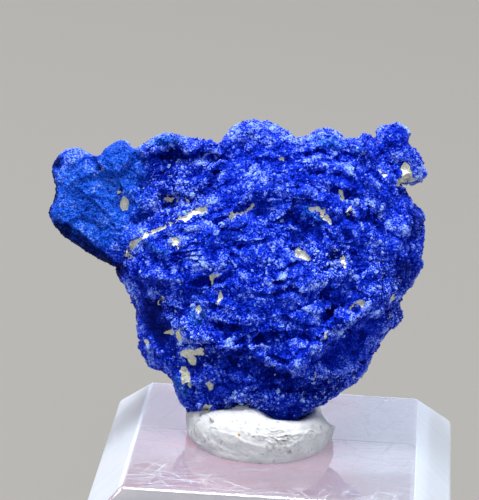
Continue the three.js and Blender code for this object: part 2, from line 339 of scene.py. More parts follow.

# Places painted darker as painted shade, in hollows, under ledges and towards the lower edge: x, z, radius
# along, radius across, turn in degrees, darkness.
PAINTED_SHADE_PATCHES = [
    (-9.3, -5.9, 0.8, 2.6, 30, 0.85),
    (7.8, -7.8, 2.4, 0.9, 40, 0.3),
    (-2.5, -12.7, 1.3, 0.5, 0, 0.9),
    (-7.9, 9.5, 1.5, 0.55, -5, 0.6),
    (-8.8, 8.4, 1.6, 0.8, -5, 0.2),
    (-10.7, 4, 1.1, 0.6, 30, 0.3),
    (-5.9, 6.1, 1.2, 0.7, 0, 0.55),
    (-2.6, 2.8, 1.4, 0.5, 50, 0.35),
    (-4.2, 7.4, 0.4, 1.6, -35, 0.5),
    (13.8, 3.5, 0.8, 1.1, 0, 0.7),
    (12.9, -1, 0.7, 1.3, 0, 0.65),
    (-18.3, 9, 0.7, 0.5, 45, 0.9),
    (-14.4, 8.3, 0.25, 0.3, 0, 0.9),
    (-16.6, 5.9, 1.3, 0.6, -10, 0.3),
    (3, 2.2, 0.8, 0.35, -15, 0.5),
    (6.2, 0.5, 0.6, 0.4, -20, 0.75),
    (1.3, 7.1, 0.8, 0.4, 0, 0.45),
    (9.3, 6.7, 0.9, 0.45, -60, 0.5),
    (-5.3, -2.4, 0.6, 0.5, 0, 0.6),
    (-3.1, -5.6, 0.9, 0.14, -5, 0.7),
    (-8, 5.2, 0.8, 0.3, 0, 0.9),
    (4.6, 2.6, 1.8, 0.5, -20, 0.15),
    (-13.1, 9.3, 1.6, 1.6, 0, 0.25),
    (0, -12, 8, 2.6, 0, 0.23),
    (12.2, 9.5, 1.3, 2.2, 0, 0.12),
    (2, -8.5, 5, 2, -10, 0.05),
    (-12.75, 6.4, 0.25, 0.8, 0, 0.9),
    (9.6, 9.6, 0.45, 1.2, 25, 0.5),
    (13.2, 6.4, 1.3, 0.25, 15, 0.9),
    (-15, 4.6, 1.8, 1.1, -40, 0.35),
    (10.2, -6, 2.6, 0.7, 48, 0.2),
    (8.6, 5.9, 1.6, 0.3, 0, 0.4),
    (-8.2, 2.5, 1.3, 0.5, 25, 0.25),
]

# Bands painted darker as painted shade, along the wing's shaded sides and in the lower grooves: half width,
# darkness, points (x, z).
PAINTED_SHADE_BANDS = [
    (0.85, 1, [(-18.2, 2.7), (-17.1, 2), (-15.8, 1), (-14.6, 0.2), (-13.1, -0.6)]),
    (0.4, 0.9, [(-18.5, 9.8), (-19.2, 8.4), (-18.9, 6.3), (-19.5, 4.5), (-18.8, 2.6)]),
    (0.8, 0.4, [(-6, -8.4), (-4, -8.3), (-1.5, -8.8), (0.5, -9.8)]),
    (0.8, 0.45, [(0.5, -9.8), (2.5, -10.8), (4.2, -11.3), (6.6, -11)]),
]

# Paler places: x, z, radius along, radius across, turn in degrees, paleness.
PALE_PATCHES = [
    (-1.5, 11.5, 2.2, 1.1, 0, 0.9),
    (4.5, 11.4, 2.6, 0.8, 0, 1),
    (7.2, 9.6, 2.2, 1, -10, 1),
    (4.6, 9.2, 1.2, 0.6, -10, 0.5),
    (9.8, 4.4, 1.7, 0.9, -50, 0.5),
    (-0.4, 7.6, 1.5, 0.9, 0, 0.8),
    (-4.9, 9.1, 1.1, 0.7, 0, 1.3),
    (-5, 4.9, 1.3, 0.55, 35, 1.4),
    (12.6, 2.2, 0.8, 0.9, 0, 0.5),
    (-16.5, 9.6, 1.5, 0.7, 0, 1.2),
    (-17.6, 8.6, 0.6, 0.7, 0, 0.9),
    (-15, 8.9, 0.8, 0.8, 0, 1),
    (4.5, 4.15, 1, 0.25, -28, 1),
    (6, 10.5, 1.3, 0.4, -5, 0.8),
    (-13.6, 3.5, 0.5, 1.5, 10, 0.6),
    (-11.6, 7, 0.6, 1.3, 0, 0.5),
    (-17.6, 6.8, 0.8, 1.4, 10, 0.4),
    (12.3, 5, 0.9, 1.3, 0, 0.2),
    (14.2, 8.2, 0.7, 0.4, -40, 1.1),
    (12.1, 10.6, 0.8, 1.6, -20, 0.2),
    (5.2, -1.7, 1.3, 1, 0, 0.9),
    (-7.4, 0.5, 1.6, 1, 0, 0.2),
    (-5.2, -0.2, 2, 0.7, 0, 0.5),
    (-1.1, -5.4, 1.2, 0.6, 0, 0.5),
    (9.8, 1, 0.9, 0.9, 0, 0.5),
    (7.8, -4.9, 2.6, 0.35, 42, 0.7),
    (3, 5, 1.6, 0.35, -10, 0.6),
    (-8.8, 11, 1.6, 0.5, 0, 1),
]

# Pale clay left in pits and cracks: x, z, radius along, radius across, turn in degrees.
CLAY_PATCHES = [
    (-12.2, 5.05, 0.28, 0.32, 0),
    (-12.7, 6, 0.08, 0.45, 20),
    (-14.3, 8.1, 0.15, 0.1, 0),
    (-7.6, 1.7, 0.38, 0.5, 15),
    (-8.2, 5.6, 0.5, 0.2, 0),
    (-6.6, 5.5, 0.5, 0.09, -50),
    (3.4, 0.6, 0.75, 0.36, -30),
    (7.1, 0.1, 0.26, 0.5, 10),
    (1.7, 9.1, 0.25, 0.18, 0),
    (-4.3, -1.4, 0.55, 0.22, 45),
    (-3.9, -3.2, 0.24, 0.7, -12),
    (-5.7, -4.3, 0.2, 0.45, -15),
    (-9.2, -3.3, 0.24, 0.4, -15),
    (-7.5, -6.4, 0.26, 0.6, 0),
    (-8.3, -6.3, 0.4, 0.22, 20),
    (-6.6, -8.1, 0.65, 0.42, 0),
    (-5.8, -8, 0.6, 0.32, 10),
    (-6.3, -8.7, 0.35, 0.4, 0),
    (-6.8, -10.2, 0.38, 0.9, 25),
    (-4.7, -10.7, 0.3, 0.4, 0),
    (-4.9, -12.9, 0.5, 0.25, 20),
    (-1.3, -12.8, 0.4, 0.16, 0),
    (4.7, -10.1, 0.14, 0.42, 0),
    (5.3, -6.6, 0.36, 0.2, 20),
    (8.3, -3.7, 0.7, 0.12, 28),
    (11.8, -3.5, 0.22, 0.55, -10),
    (11.4, -4.8, 0.13, 0.4, -10),
    (-10.4, -7.2, 0.18, 0.4, 10),
    (12.95, 7.8, 0.55, 0.95, 10),
    (12.7, 7, 0.7, 0.35, 0),
    (13.5, 7, 0.5, 0.35, 0),
    (10.6, 7.9, 0.18, 0.4, 30),
    (7, 5.9, 0.22, 0.22, 0),
    (7.7, 4.4, 0.14, 0.4, 20),
]

# Cracks filled with clay: half width, points (x, z).
CLAY_CRACKS = [
    (0.22, [(-12, 0.6), (-11.2, 1.7), (-10.4, 2.3), (-9.6, 2.8), (-8.9, 3.2), (-8, 3.5)]),
    (0.24, [(-7.4, 3.8), (-6.6, 4), (-5.2, 4.7)]),
    (0.14, [(-2.7, 3.9), (-1.6, 4.4), (-0.9, 4.9)]),
    (0.13, [(2.6, 4.9), (3.3, 4.8)]),
    (0.17, [(4, 4.85), (4.9, 4.5), (5.6, 3.9), (5.9, 3.5)]),
]


# The putty's marks, seen from its front: x, height over the block. Folds: width, height, points.
PUTTY_FOLDS = [
    (0.9, 0.05, [(-4.5, 2.6), (-3.3, 2.6), (-2.5, 2.2), (-1.3, 1.9), (0.1, 1.7), (1.5, 1.7), (2.3, 2.2)]),
    (0.7, 0.04, [(-3.1, 3.1), (-1.4, 2.8), (-0.5, 3.1)]),
    (0.8, 0.03, [(-5.6, 1.4), (-4.2, 1), (-3.1, 0.9)]),
    (0.5, 0.05, [(1, 2.9), (2.6, 2.8), (4, 2.2)]),
]

# Torn places of the putty: x, height, radius along, radius across, turn in degrees.
PUTTY_TEARS = [(0.7, 2.4, 1.5, 0.6, -5), (1.2, 1.2, 1.3, 0.35, -10), (-1.4, 3, 1.6, 0.4, -10)]

# Dips pressed in the putty's top and ends: x, half width, height left at y = 0, how far back they go.
PUTTY_DIPS = [
    (1, 2.3, 1.95, 1),
    (5.9, 2.7, 2.4, 7),
    (5.9, 1.7, 1.7, 7),
    (-8.9, 1.9, 2.9, 5),
    (-9, 1.2, 2.1, 5),
]
PUTTY_SLOPE = 0.39  # how the dips fall away towards the back
PUTTY_SOFTNESS = 0.35  # how round the dips' edges are
PUTTY_PIT = (-5.45, 3.25, 0.22, 0.5)  # x, height over the block, radius, depth
PUTTY_STAIN = (-2.95, 2.55, 0.14)  # x, height over the block, radius
PUTTY_GRID = (170, 400)  # points from pole to pole, and round
PUTTY_FILM = 0.02  # the least height of the pad over the block
PUTTY_DIP_END = 4  # over what distance a dip ends at its back
SEAT_SPACING = 0.25  # lattice on which the stone's lowest heights are read
SEAT_GAP = 0.1  # how far the putty stays under the stone
THINNEST_SEAT = 0.3  # the least that the stone leaves of the pad under it

BLOCK_LIFT = 0.03  # how far the underside stays off the floor
TOP_WEAR = 0.28  # how strongly the scratches show in the worn places
# The front and back's haziness is partly a painted reflection of the bright sky.
FACE_HAZE_AND_SKY_REFLECTION = 0.08  # how hazy the clear front and back are

# Scratches on the block's top: degrees from Y, width in mm.
SCRATCHES = [
    (12, 0.15), (35, 0.2), (58, 0.14), (72, 0.22),
    (85, 0.18), (103, 0.2), (130, 0.15), (160, 0.22),
]

# The stage, in metres. Lights: place, width and height, colour.
FLOOR_REACH = 3.0
OVERHEAD_LIGHT = ((-0.15, -0.13, 1), (0.6, 0.24), (1, 1, 1))
OVERHEAD_TARGET = (-0.15, 0, 0)
BACK_LIGHT = ((0, 1.2, 0.23), (1.8, 0.56), (0.6, 0.8, 1))
FRONT_LIGHT = ((0.3, -0.9, 0.35), (0.6, 0.6), (1, 1, 1))
SKY_COLOUR = (0.9, 0.94, 1, 1)
CAMERA_CLIP = (0.01, 20)

# How light the crust is: a level, and how much each number adds to it, on its rough crust and on its
# smooth places. Standing out paints shade into the recesses and a highlight onto the tops, the painted
# shade makes the shaded places darker and specks in glinting places are painted glints; grain, mottle,
# speck and streaks are the stone's own uneven tone.
ROUGH_LEVEL = -1.95
ROUGH_LIGHT = {
    "proud": 0.45, "grain": 1.2, "mottle": 1.85, "speck": 1.05, "glinting": 0.5, "painted_shade": -0.7, "glint": -0.3,
}
SMOOTH_LEVEL = -1.05
SMOOTH_LIGHT = {
    "proud": 0.2, "grain": 0.5, "mottle": 0.2, "speck": 1.1, "streaks": 0.8, "painted_shade": -0.7,
}

# Colours that don't change with the settings.
# Painted shade: the blue of the deepest recesses and most shaded places.
CREVICE_SHADE_BLUE = (0, 0.001, 0.13)
SHADED_AZURE = (0, 0.016, 0.27)
# Painted shade: the near black of the places of strongest painted shade.
PAINTED_SHADE_BLACK = (0.001, 0.001, 0.03)
DULL_CLAY = (0.7, 0.71, 0.6)
# Painted shade: the clay's sunken rim.
CLAY_RIM_SHADE = (0.36, 0.38, 0.36)
BLUE_SHEEN = (0.03, 0.2, 1.0)
PUTTY_DIRT = (0.36, 0.35, 0.345)
PUTTY_GREY_SPECK = (0.2, 0.2, 0.21)
PUTTY_BLUE_SPECK = (0.12, 0.16, 0.45)
# Painted shade: each crevice of the putty's torn places.
PUTTY_CREVICE_SHADE = (0.16, 0.155, 0.16)
RUST_HALO = (0.7, 0.5, 0.3)
RUST = (0.1, 0.07, 0.05)
# Matt bluish white of the scratches and streaks, and of the hazy sides, whose haziness is partly a painted
# reflection of the sky.
SCRATCH_AND_SKY_REFLECTION_WHITE = (0.78, 0.92, 1)
SAW_LINES = (0.85, 0.68, 0.8)
# Painted reflection: the blue seen in the underside at its right.
UNDERSIDE_REFLECTED_BLUE = (0.75, 0.84, 0.95)


# ---------------------------------------------------------------- settings


class SpecimenSettings(PropertyGroup):
    """Sizes and colours of the azurite crust and its crystals."""

    knob_spacing: FloatProperty(
        name="Knob spacing", description="Distance between the crust's knobs, mm", default=2, min=0.5
    )
    knob_height: FloatProperty(
        name="Knob height", description="Height of the crust's knobs, mm", default=0.55, min=0
    )
    grain_size: FloatProperty(
        name="Grain size", description="Distance between the crust's grains, mm", default=0.46, min=0.1
    )
    grain_height: FloatProperty(
        name="Grain height", description="Height of the crust's grains, mm", default=0.19, min=0
    )
    crystal_size: FloatProperty(
        name="Crystal size", description="Usual width of a crystal, mm", default=0.27, min=0.1
    )
    crystals_front: IntProperty(
        name="Crystals, front", description="Crystals on the front of the rosette", default=14000, min=0
    )
    crystals_back: IntProperty(
        name="Crystals, back", description="Crystals on the back of the rosette", default=9000, min=0
    )
    crystals_sides: IntProperty(
        name="Crystals, wing", description="Crystals on the wing and the sprig", default=5000, min=0
    )
    seed: IntProperty(name="Seed", description="Start of the random choices", default=7)
    # Deep blue is partly the crust's deeper tone and partly painted shade in its recesses.
    deep_blue: FloatVectorProperty(
        name="Deep blue", description="Colour in the crust's recesses", subtype="COLOR",
        default=(0.0, 0.007, 0.38), min=0, max=1,
    )
    azurite_blue: FloatVectorProperty(
        name="Azurite blue", description="Colour of most of the crust", subtype="COLOR",
        default=(0.012, 0.052, 0.78), min=0, max=1,
    )
    # Pale blue is the crust's paler tone, and on its tops partly a painted highlight.
    pale_blue: FloatVectorProperty(
        name="Pale blue", description="Colour of the crust's dusty tops", subtype="COLOR",
        default=(0.33, 0.49, 1.0), min=0, max=1,
    )
    azure: FloatVectorProperty(
        name="Azure", description="Colour of the smooth wing", subtype="COLOR",
        default=(0.018, 0.14, 0.84), min=0, max=1,
    )
    clay: FloatVectorProperty(
        name="Clay", description="Colour of the clay in the pits", subtype="COLOR",
        default=(0.88, 0.89, 0.75), min=0, max=1,
    )


class PuttySettings(PropertyGroup):
    """Shape and colour of the putty pad."""

    squareness: FloatProperty(
        name="Squareness", description="1 is an ellipsoid, less is a cushion", default=0.62, min=0.4, max=1
    )
    height: FloatProperty(name="Height", description="Height before the stone is pressed in, mm", default=4.3)
    pressed: FloatProperty(
        name="Pressed", description="How much of the ball's height is pressed flat below, mm", default=1.4
    )
    colour: FloatVectorProperty(
        name="Colour", description="Colour of the putty", subtype="COLOR",
        default=(0.65, 0.665, 0.69), min=0, max=1,
    )


class BlockSettings(PropertyGroup):
    """Shape and finish of the display block."""

    bevel: FloatProperty(
        name="Bevel", description="Width of the 45 degree bevel round the top", default=3.4 * MM,
        subtype="DISTANCE", unit="LENGTH",
    )
    edge_radius: FloatProperty(
        name="Edge radius", description="Rounding of the block's edges", default=0.3 * MM,
        subtype="DISTANCE", unit="LENGTH",
    )
    tint: FloatVectorProperty(
        name="Tint", description="Colour of the acrylic", subtype="COLOR",
        default=(0.97, 0.9, 0.96), min=0, max=1,
    )
    refraction: FloatProperty(
        name="Refractive index", description="Refractive index of acrylic", default=1.49, min=1
    )
    clearness: FloatProperty(
        name="Clearness", description="1 is quite clear, less is milky", default=0.9, min=0, max=1
    )
    # The left and right sides' haziness is partly a painted reflection of the bright sky.
    haze_and_sky_reflection: FloatProperty(
        name="Haze", description="How matt the left and right sides are", default=0.42, min=0, max=1
    )
    # The underside's pink is a painted reflection of what lies under the block.
    underside: FloatVectorProperty(
        name="Underside", description="Colour of the sawn underside", subtype="COLOR",
        default=(0.95, 0.6, 0.7), min=0, max=1,
    )


class StageSettings(PropertyGroup):
    """Floor, light and camera."""

    floor_colour: FloatVectorProperty(
        name="Floor", description="Colour of the floor", subtype="COLOR",
        default=(0.24, 0.227, 0.207), min=0, max=1,
    )
    sky_strength: FloatProperty(name="Sky", description="Strength of the even light", default=0.6)
    key_power: FloatProperty(
        name="Overhead light", description="Power of the light above", default=15, unit="POWER"
    )
    fill_power: FloatProperty(
        name="Front light", description="Power of the light behind the camera", default=1.7, unit="POWER"
    )
    back_power: FloatProperty(
        name="Back light", description="Power of the bluish light behind the block", default=5.2, unit="POWER"
    )
    lens: FloatProperty(name="Lens", description="Focal length, mm", default=192, min=1)


# ---------------------------------------------------------------- numbers that repeat


def lattice_random(cell, channel):
    """A repeatable number from 0 to 1 for each whole-number point: an integer hash of it."""
    mixed = cell[..., 0] * 73856093 ^ cell[..., 1] * 19349663 ^ cell[..., 2] * 83492791
    mixed = (mixed ^ channel * 40503) & 0xFFFFFFFF
    mixed = ((mixed ^ mixed >> 15) * 1274126177) & 0xFFFFFFFF
    mixed = ((mixed ^ mixed >> 13) * 668265263) & 0xFFFFFFFF
    return (mixed ^ mixed >> 16) / 0xFFFFFFFF


def smooth_noise(points, spacing, channel=0):
    """Noise from -1 to 1: random numbers on a lattice, blended by 3t^2 - 2t^3 across each cell."""
    scaled = points / spacing
    cell = np.floor(scaled).astype(np.int64)
    part = scaled - cell
    blend = part * part * (3 - 2 * part)
    total = np.zeros(points.shape[:-1])
    for corner in np.ndindex(2, 2, 2):
        weight = np.prod(np.where(corner, blend, 1 - blend), axis=-1)
        total += weight * lattice_random(cell + np.array(corner), channel)
    return 2 * total - 1


def layered_noise(points, spacing, layers, channel=0):
    """Sum of smooth noise, each layer at half the spacing and half the height of the one before."""
    return sum(
        smooth_noise(points, spacing / 2**layer, channel + layer) / 2**layer for layer in range(layers)
    )


def nearest_grains(points, spacing, channel=0):
    """Cellular noise: one random site in each lattice cell. Gives the distances to the nearest and
    the second site, the vector from the nearest site and three random numbers of that site."""
    scaled = points / spacing
    home = np.floor(scaled).astype(np.int64)
    nearest = np.full(points.shape[:-1], np.inf)
    second = nearest.copy()
    offset = np.zeros(points.shape)
    traits = np.zeros(points.shape)
    for step in np.ndindex(3, 3, 3):
        cell = home + np.array(step) - 1
        jitter = np.stack([lattice_random(cell, channel + axis) for axis in range(3)], axis=-1)
        away = scaled - cell - jitter
        distance = np.linalg.norm(away, axis=-1)
        closer = distance < nearest
        second = np.where(closer, nearest, np.minimum(second, distance))
        nearest = np.where(closer, distance, nearest)
        offset = np.where(closer[..., None], away, offset)
        trait = np.stack([lattice_random(cell, channel + 10 + axis) for axis in range(3)], axis=-1)
        traits = np.where(closer[..., None], trait, traits)
    return nearest, second, offset, traits


# ---------------------------------------------------------------- relief of the face


def ramp(value, low, high):
    """0 below low, 1 above high, and 3t^2 - 2t^3 between."""
    part = np.clip((value - low) / (high - low), 0, 1)
    return part * part * (3 - 2 * part)


def spot(x, z, centre_x, centre_z, along, across, turn):
    """How far each point is from an ellipse's centre, in radii of that turned ellipse."""
    angle = math.radians(turn)
    a = ((x - centre_x) * math.cos(angle) + (z - centre_z) * math.sin(angle)) / along
    b = ((z - centre_z) * math.cos(angle) - (x - centre_x) * math.sin(angle)) / across
    return np.hypot(a, b)


def polyline_sides(x, z, points):
    """For the nearest segment of a polyline: the distance to its line, + on its left, and how far
    past the segment's ends the point lies."""
    best = np.full(x.shape, np.inf)
    side = np.zeros(x.shape)
    past = np.zeros(x.shape)
    for (ax, az), (bx, bz) in zip(points, points[1:]):
        length = math.hypot(bx - ax, bz - az)
        ux, uz = (bx - ax) / length, (bz - az) / length
        along = (x - ax) * ux + (z - az) * uz
        across = (z - az) * ux - (x - ax) * uz
        beyond = np.maximum(0, np.maximum(-along, along - length))
        distance = np.hypot(across, beyond)
        closer = distance < best
        best = np.where(closer, distance, best)
        side = np.where(closer, across, side)
        past = np.where(closer, beyond, past)
    return side, past


def in_plane(x, z):
    """The places (x, z) of the face as points, to read noise at."""
    return np.stack([x, z, 0 * x], -1)


def moved_about(x, z, reach, size, layers=2, channel=Channel.RAGGED):
    """The same places moved about by noise, so that what is read from them is uneven."""
    flat = in_plane(x, z)
    return tuple(
        value + reach * layered_noise(flat, size, layers, channel + axis)
        for axis, value in enumerate((x, z))
    )


def bell(x, z, width, points):
    """1 on a polyline, falling away as exp(-d^2) with the distance in half widths."""
    side, past = polyline_sides(x, z, points)
    return np.exp(-(side**2 + past**2) / width**2)


def ledge(x, z, width, points, shape):
    """A ledge that rises at once on a polyline and falls away on its left as exp(-d), with a groove
    at its foot. It fades past the polyline's ends."""
    softness, groove_depth, groove_at, groove_width, end = shape
    side, past = polyline_sides(x, z, points)
    step = ramp(side, -softness, softness) * np.exp(-np.maximum(side, 0) / width)
    groove = groove_depth * np.exp(-(((side + groove_at) / groove_width) ** 2))
    return (step - groove) * np.exp(-((past / end) ** 2))


def growth_shelves(x, z):
    """Broken shelves: a saw-tooth of the distance from the face's middle, counted upwards above it
    and downwards below it, so that each tooth's sharp edge is its lower one. Noise bends the shelves
    and makes them come and go."""
    flat = in_plane(x, z)
    from_x, from_z = x - SHELF_MIDDLE[0], z - SHELF_MIDDLE[1]
    upwards = np.hypot(SHELF_FLATNESS * from_x, from_z) * (2 * ramp(from_z, -2, 2) - 1)
    bend, bend_size = SHELF_BEND
    bent = upwards / SHELF_SPACING + bend * layered_noise(flat, bend_size, 3, Channel.SHELVES)
    tooth = bent % 1
    shelf = ramp(tooth, 0, 0.14) * (1 - tooth) - 0.35
    strength = ramp(smooth_noise(flat, SHELF_GAPS, Channel.SHELF_GAPS), -0.5, 0.6)
    return SHELF_HEIGHT * shelf * strength


def face_relief(x, z):
    """Height added to the face: bell-shaped ridges exp(-d^2), ledges that rise at once on a line and
    fall away above it as exp(-d), grooves, bell-shaped bumps and hollows, and the flat-topped button."""
    x, z = moved_about(x, z, reach=0.25, size=1.3, layers=1, channel=Channel.WANDER)
    height = np.zeros(x.shape)
    for width, rise, points in RIDGES:
        height += rise * bell(x, z, width, points)
    for width, rise, points in LEDGES:
        height += rise * ledge(x, z, width, points, FACE_LEDGE)
    for *ellipse, rise in BUMPS:
        height += rise * np.exp(-(spot(x, z, *ellipse) ** 2))
    for width, depth, points in GROOVES:
        height -= depth * bell(x, z, width, points)
    height += growth_shelves(x, z) * (1 - patch_cover(x, z, SMOOTH_PATCHES, edge=0.3))
    button_x, button_z, radius, rise = BUTTON
    height += rise * (1 - ramp(np.hypot(x - button_x, z - button_z) / radius, 0.8, 1.1))
    return height


def patch_cover(x, z, patches, edge):
    """1 inside any of the ellipses, 0 outside, soft over edge radii."""
    cover = np.zeros(x.shape)
    for patch in patches:
        cover = np.maximum(cover, 1 - ramp(spot(x, z, *patch), 1 - edge, 1 + edge))
    return cover


def strongest(x, z, patches):
    """The most of any of these soft ellipses, each as strong as its last number inside and 0 outside."""
    cover = np.zeros(x.shape)
    for *patch, strength in patches:
        cover = np.maximum(cover, strength * patch_cover(x, z, [patch], edge=0.6))
    return cover


def line_cover(x, z, width, points):
    """1 within about this half width of a polyline, 0 outside, with a soft edge."""
    side, past = polyline_sides(x, z, points)
    return 1 - ramp(np.hypot(side, past) / width, 0.7, 1.3)


def painted_shade_cover(x, z):
    """Where the face is painted in shade: soft ellipses and bands, up to their darkness inside, 0 outside."""
    x, z = moved_about(x, z, reach=0.3, size=1.3)
    cover = strongest(x, z, PAINTED_SHADE_PATCHES)
    for width, darkness, points in PAINTED_SHADE_BANDS:
        cover = np.maximum(cover, darkness * line_cover(x, z, width, points))
    return cover


def pale_cover(x, z):
    """Where the face is paler."""
    return strongest(*moved_about(x, z, reach=0.4, size=1.5), PALE_PATCHES)


def clay_cover(x, z):
    """Where clay shows on the face: ragged ellipses and broken cracks, 1 inside and 0 outside."""
    broken = ramp(smooth_noise(in_plane(x, z), 0.7, Channel.BROKEN_CRACKS), -0.9, -0.5)
    x, z = moved_about(x, z, reach=0.2, size=0.45)
    cover = patch_cover(x, z, CLAY_PATCHES, edge=0.25)
    for width, points in CLAY_CRACKS:
        cover = np.maximum(cover, broken * line_cover(x, z, width, points))
    return cover


def back_clay(points):
    """Where clay shows on the back: the peaks of a noise."""
    return ramp(layered_noise(points, 2.2, 3, Channel.BACK_CLAY), 0.78, 0.9)


# ---------------------------------------------------------------- domed crust


def closed_spline(outline, count):
    """count points evenly along the closed centripetal Catmull-Rom curve through the outline."""
    p1 = np.array(outline, float)
    p0, p2, p3 = (np.roll(p1, shift, axis=0) for shift in (1, -1, -2))
    d0, d1, d2 = (np.sqrt(np.linalg.norm(b - a, axis=1))[:, None] for a, b in ((p0, p1), (p1, p2), (p2, p3)))
    start = ((p1 - p0) / d0 - (p2 - p0) / (d0 + d1) + (p2 - p1) / d1) * d1
    end = ((p2 - p1) / d1 - (p3 - p1) / (d1 + d2) + (p3 - p2) / d2) * d1
    t = np.linspace(0, 1, 24, endpoint=False)[None, :, None]
    p1, p2, start, end = (a[:, None, :] for a in (p1, p2, start, end))
    curve = (2 * t**3 - 3 * t**2 + 1) * p1 + (t**3 - 2 * t**2 + t) * start
    curve = (curve + (3 * t**2 - 2 * t**3) * p2 + (t**3 - t**2) * end).reshape(-1, 2)
    closed = np.vstack([curve, curve[:1]])
    travelled = np.concatenate([[0], np.cumsum(np.linalg.norm(np.diff(closed, axis=0), axis=1))])
    wanted = np.linspace(0, travelled[-1], count, endpoint=False)
    return np.stack([np.interp(wanted, travelled, closed[:, axis]) for axis in (0, 1)], axis=-1)


def square_disc(count):
    """A square grid s, t from -1 to 1 laid on the unit disc: a = s sqrt(1 - t^2/2) and
    b = t sqrt(1 - s^2/2). Gives each point's distance from the middle and turn, both 0 to 1."""
    t, s = np.meshgrid(np.linspace(-1, 1, count), np.linspace(-1, 1, count), indexing="ij")
    a = s * np.sqrt(1 - t * t / 2)
    b = t * np.sqrt(1 - s * s / 2)
    return np.minimum(1, np.hypot(a, b)), np.arctan2(b, a) / (2 * math.pi) % 1


def grid_normals(grid, outwards):
    """Unit normals of a grid of points: the cross product of its two directions."""
    normal = np.cross(np.gradient(grid, axis=1), np.gradient(grid, axis=0))
    normal = normal * outwards
    return normal / np.maximum(np.linalg.norm(normal, axis=-1, keepdims=True), 1e-9)


def blurred(values, reach):
    """Each value averaged with those up to reach steps away on the grid, twice over, by running
    sums. The edge values go on past the edges."""
    for axis in (0, 1, 0, 1):
        first, last = np.take(values, [0], axis), np.take(values, [-1], axis)
        padded = np.concatenate(
            [np.repeat(first, reach + 1, axis), values, np.repeat(last, reach, axis)], axis=axis
        )
        total = np.cumsum(padded, axis=axis)
        size = values.shape[axis]
        low, high = (np.take(total, range(shift, shift + size), axis) for shift in (0, 2 * reach + 1))
        values = (high - low) / (2 * reach + 1)
    return values


def two_outlines(lump, turn):
    """A lump's outline at these turns round its middle, 0 to 1, and the same outline made smoother
    by a running average."""
    rim = closed_spline(lump["outline"], RIM_POINTS) - np.array(lump["centre"])
    wrapped = np.vstack([rim[-RIM_BLUR:], rim, rim[:RIM_BLUR]])
    kernel = np.full(2 * RIM_BLUR + 1, 1 / (2 * RIM_BLUR + 1))
    smooth = np.stack([np.convolve(wrapped[:, axis], kernel, "valid") for axis in (0, 1)], axis=-1)
    position = turn * RIM_POINTS
    steps = np.arange(RIM_POINTS)
    return (
        np.stack([np.interp(position, steps, line[:, axis], period=RIM_POINTS) for axis in (0, 1)], -1)
        for line in (rim, smooth)
    )


def dome(lump, side, count):
    """The front (side -1) or back (side 1) of a lump, as a grid of count x count points.

    On the disc, q = turn of the point's radius from the middle (0) to the rim (a quarter turn) and a
    little past it. ring = sin q. The point lies at ring times the outline, which gets smoother
    inwards as ring^4 falls. Its depth is D (1 - ring^f)^(1/f), with the depth D and fullness f of
    that side, or of the other side past the rim.
    """
    quarter = math.pi / 2
    reach, turn = square_disc(count)
    reach = reach * (1 - EVENNESS + EVENNESS * reach**2)
    q = reach * (1 + SHELL_OVERLAP) * quarter
    ring = np.sin(q)
    rim, smooth = two_outlines(lump, turn)
    sharp = ring[..., None] ** 4
    flat = (smooth * (1 - sharp) + rim * sharp) * ring[..., None] + np.array(lump["centre"])
    inside = q <= quarter
    is_front = inside == (side < 0)
    fullness = np.where(is_front, lump["front_fullness"], lump["back_fullness"])
    depth = np.maximum(0, 1 - ring**fullness) ** (1 / fullness)
    y = np.where(is_front, -lump["front"], lump["back"]) * depth
    x, z = flat[..., 0], flat[..., 1]
    if side < 0:
        y = y - face_relief(x, z) * ramp(-q, -quarter, -RELIEF_REACH * quarter)
    past_rim = ramp(q, quarter, (1 + SHELL_OVERLAP) * quarter)
    return np.stack([x, y, z], axis=-1), past_rim


def facets(points, grain_size, faces):
    """Broken crystal faces of one size: each cell of a cellular noise is a plane with its own tilt
    and height, or part dome, and a crease runs between cells. Gives the height, about 1, and a
    random number of each cell."""
    domed = faces["domed"]
    first, second, offset, traits = nearest_grains(points, grain_size * faces["size"], faces["channel"])
    tilt = np.sum(offset * (traits * 2 - 1), axis=-1)
    border = 1 - ramp(second - first, 0, 0.2)
    plane = 1.4 * (1 - 0.4 * domed) * tilt + 0.6 * traits[..., 0] - 0.3
    round_top = 0.7 - 1.6 * np.minimum(1, first) ** 2
    return plane + domed * round_top - faces["creases"] * border, traits[..., 1]


def knobs(points, warped, calm, settings):
    """Height of the crust's knobs: 1/2 - d^2 round each random site, raised by a random number of
    that site, on a broad swelling."""
    distance, _, _, traits = nearest_grains(warped * KNOB_STRETCH, settings.knob_spacing, Channel.KNOBS)
    rise = 0.5 - np.minimum(1.2, distance) ** 2 + 0.7 * (traits[..., 0] - 0.5)
    swelling_height, swelling_size = SWELLING
    swelling = swelling_height * layered_noise(points, swelling_size, 2, Channel.SWELLING)
    return (settings.knob_height * rise + swelling) * (1 - KNOB_CALMED * calm) - INSET


def broken_faces(points, warped, calm, settings):
    """Height of the broken faces in their three sizes, the shade of each point's grain, and the
    random number of its narrow face. The two smaller sizes come and go in patches."""
    patchy = 0.5 + 0.7 * ramp(smooth_noise(points, 2.6, Channel.PATCHY_GRIT), -0.4, 0.5)
    sizes = ((BROAD_FACES, warped, 1), (NARROW_FACES, warped * 1.05, patchy), (TINY_FACES, points, patchy))
    height, shade, numbers = 0, 0, []
    for faces, places, strength in sizes:
        relief, number = facets(places, settings.grain_size, faces)
        height = height + faces["rise"] * relief * (1 - faces["calmed"] * calm) * strength
        shade = shade + faces["shade"] * number
        numbers.append(number)
    return settings.grain_height * height, shade, numbers[1]


def fine_grit(points):
    """Height of the finest grit: two sizes of smooth noise."""
    small = 0.035 * smooth_noise(points, 0.2, Channel.FINE_GRIT)
    return small + 0.05 * smooth_noise(points, 0.4, Channel.FINE_GRIT + 1)


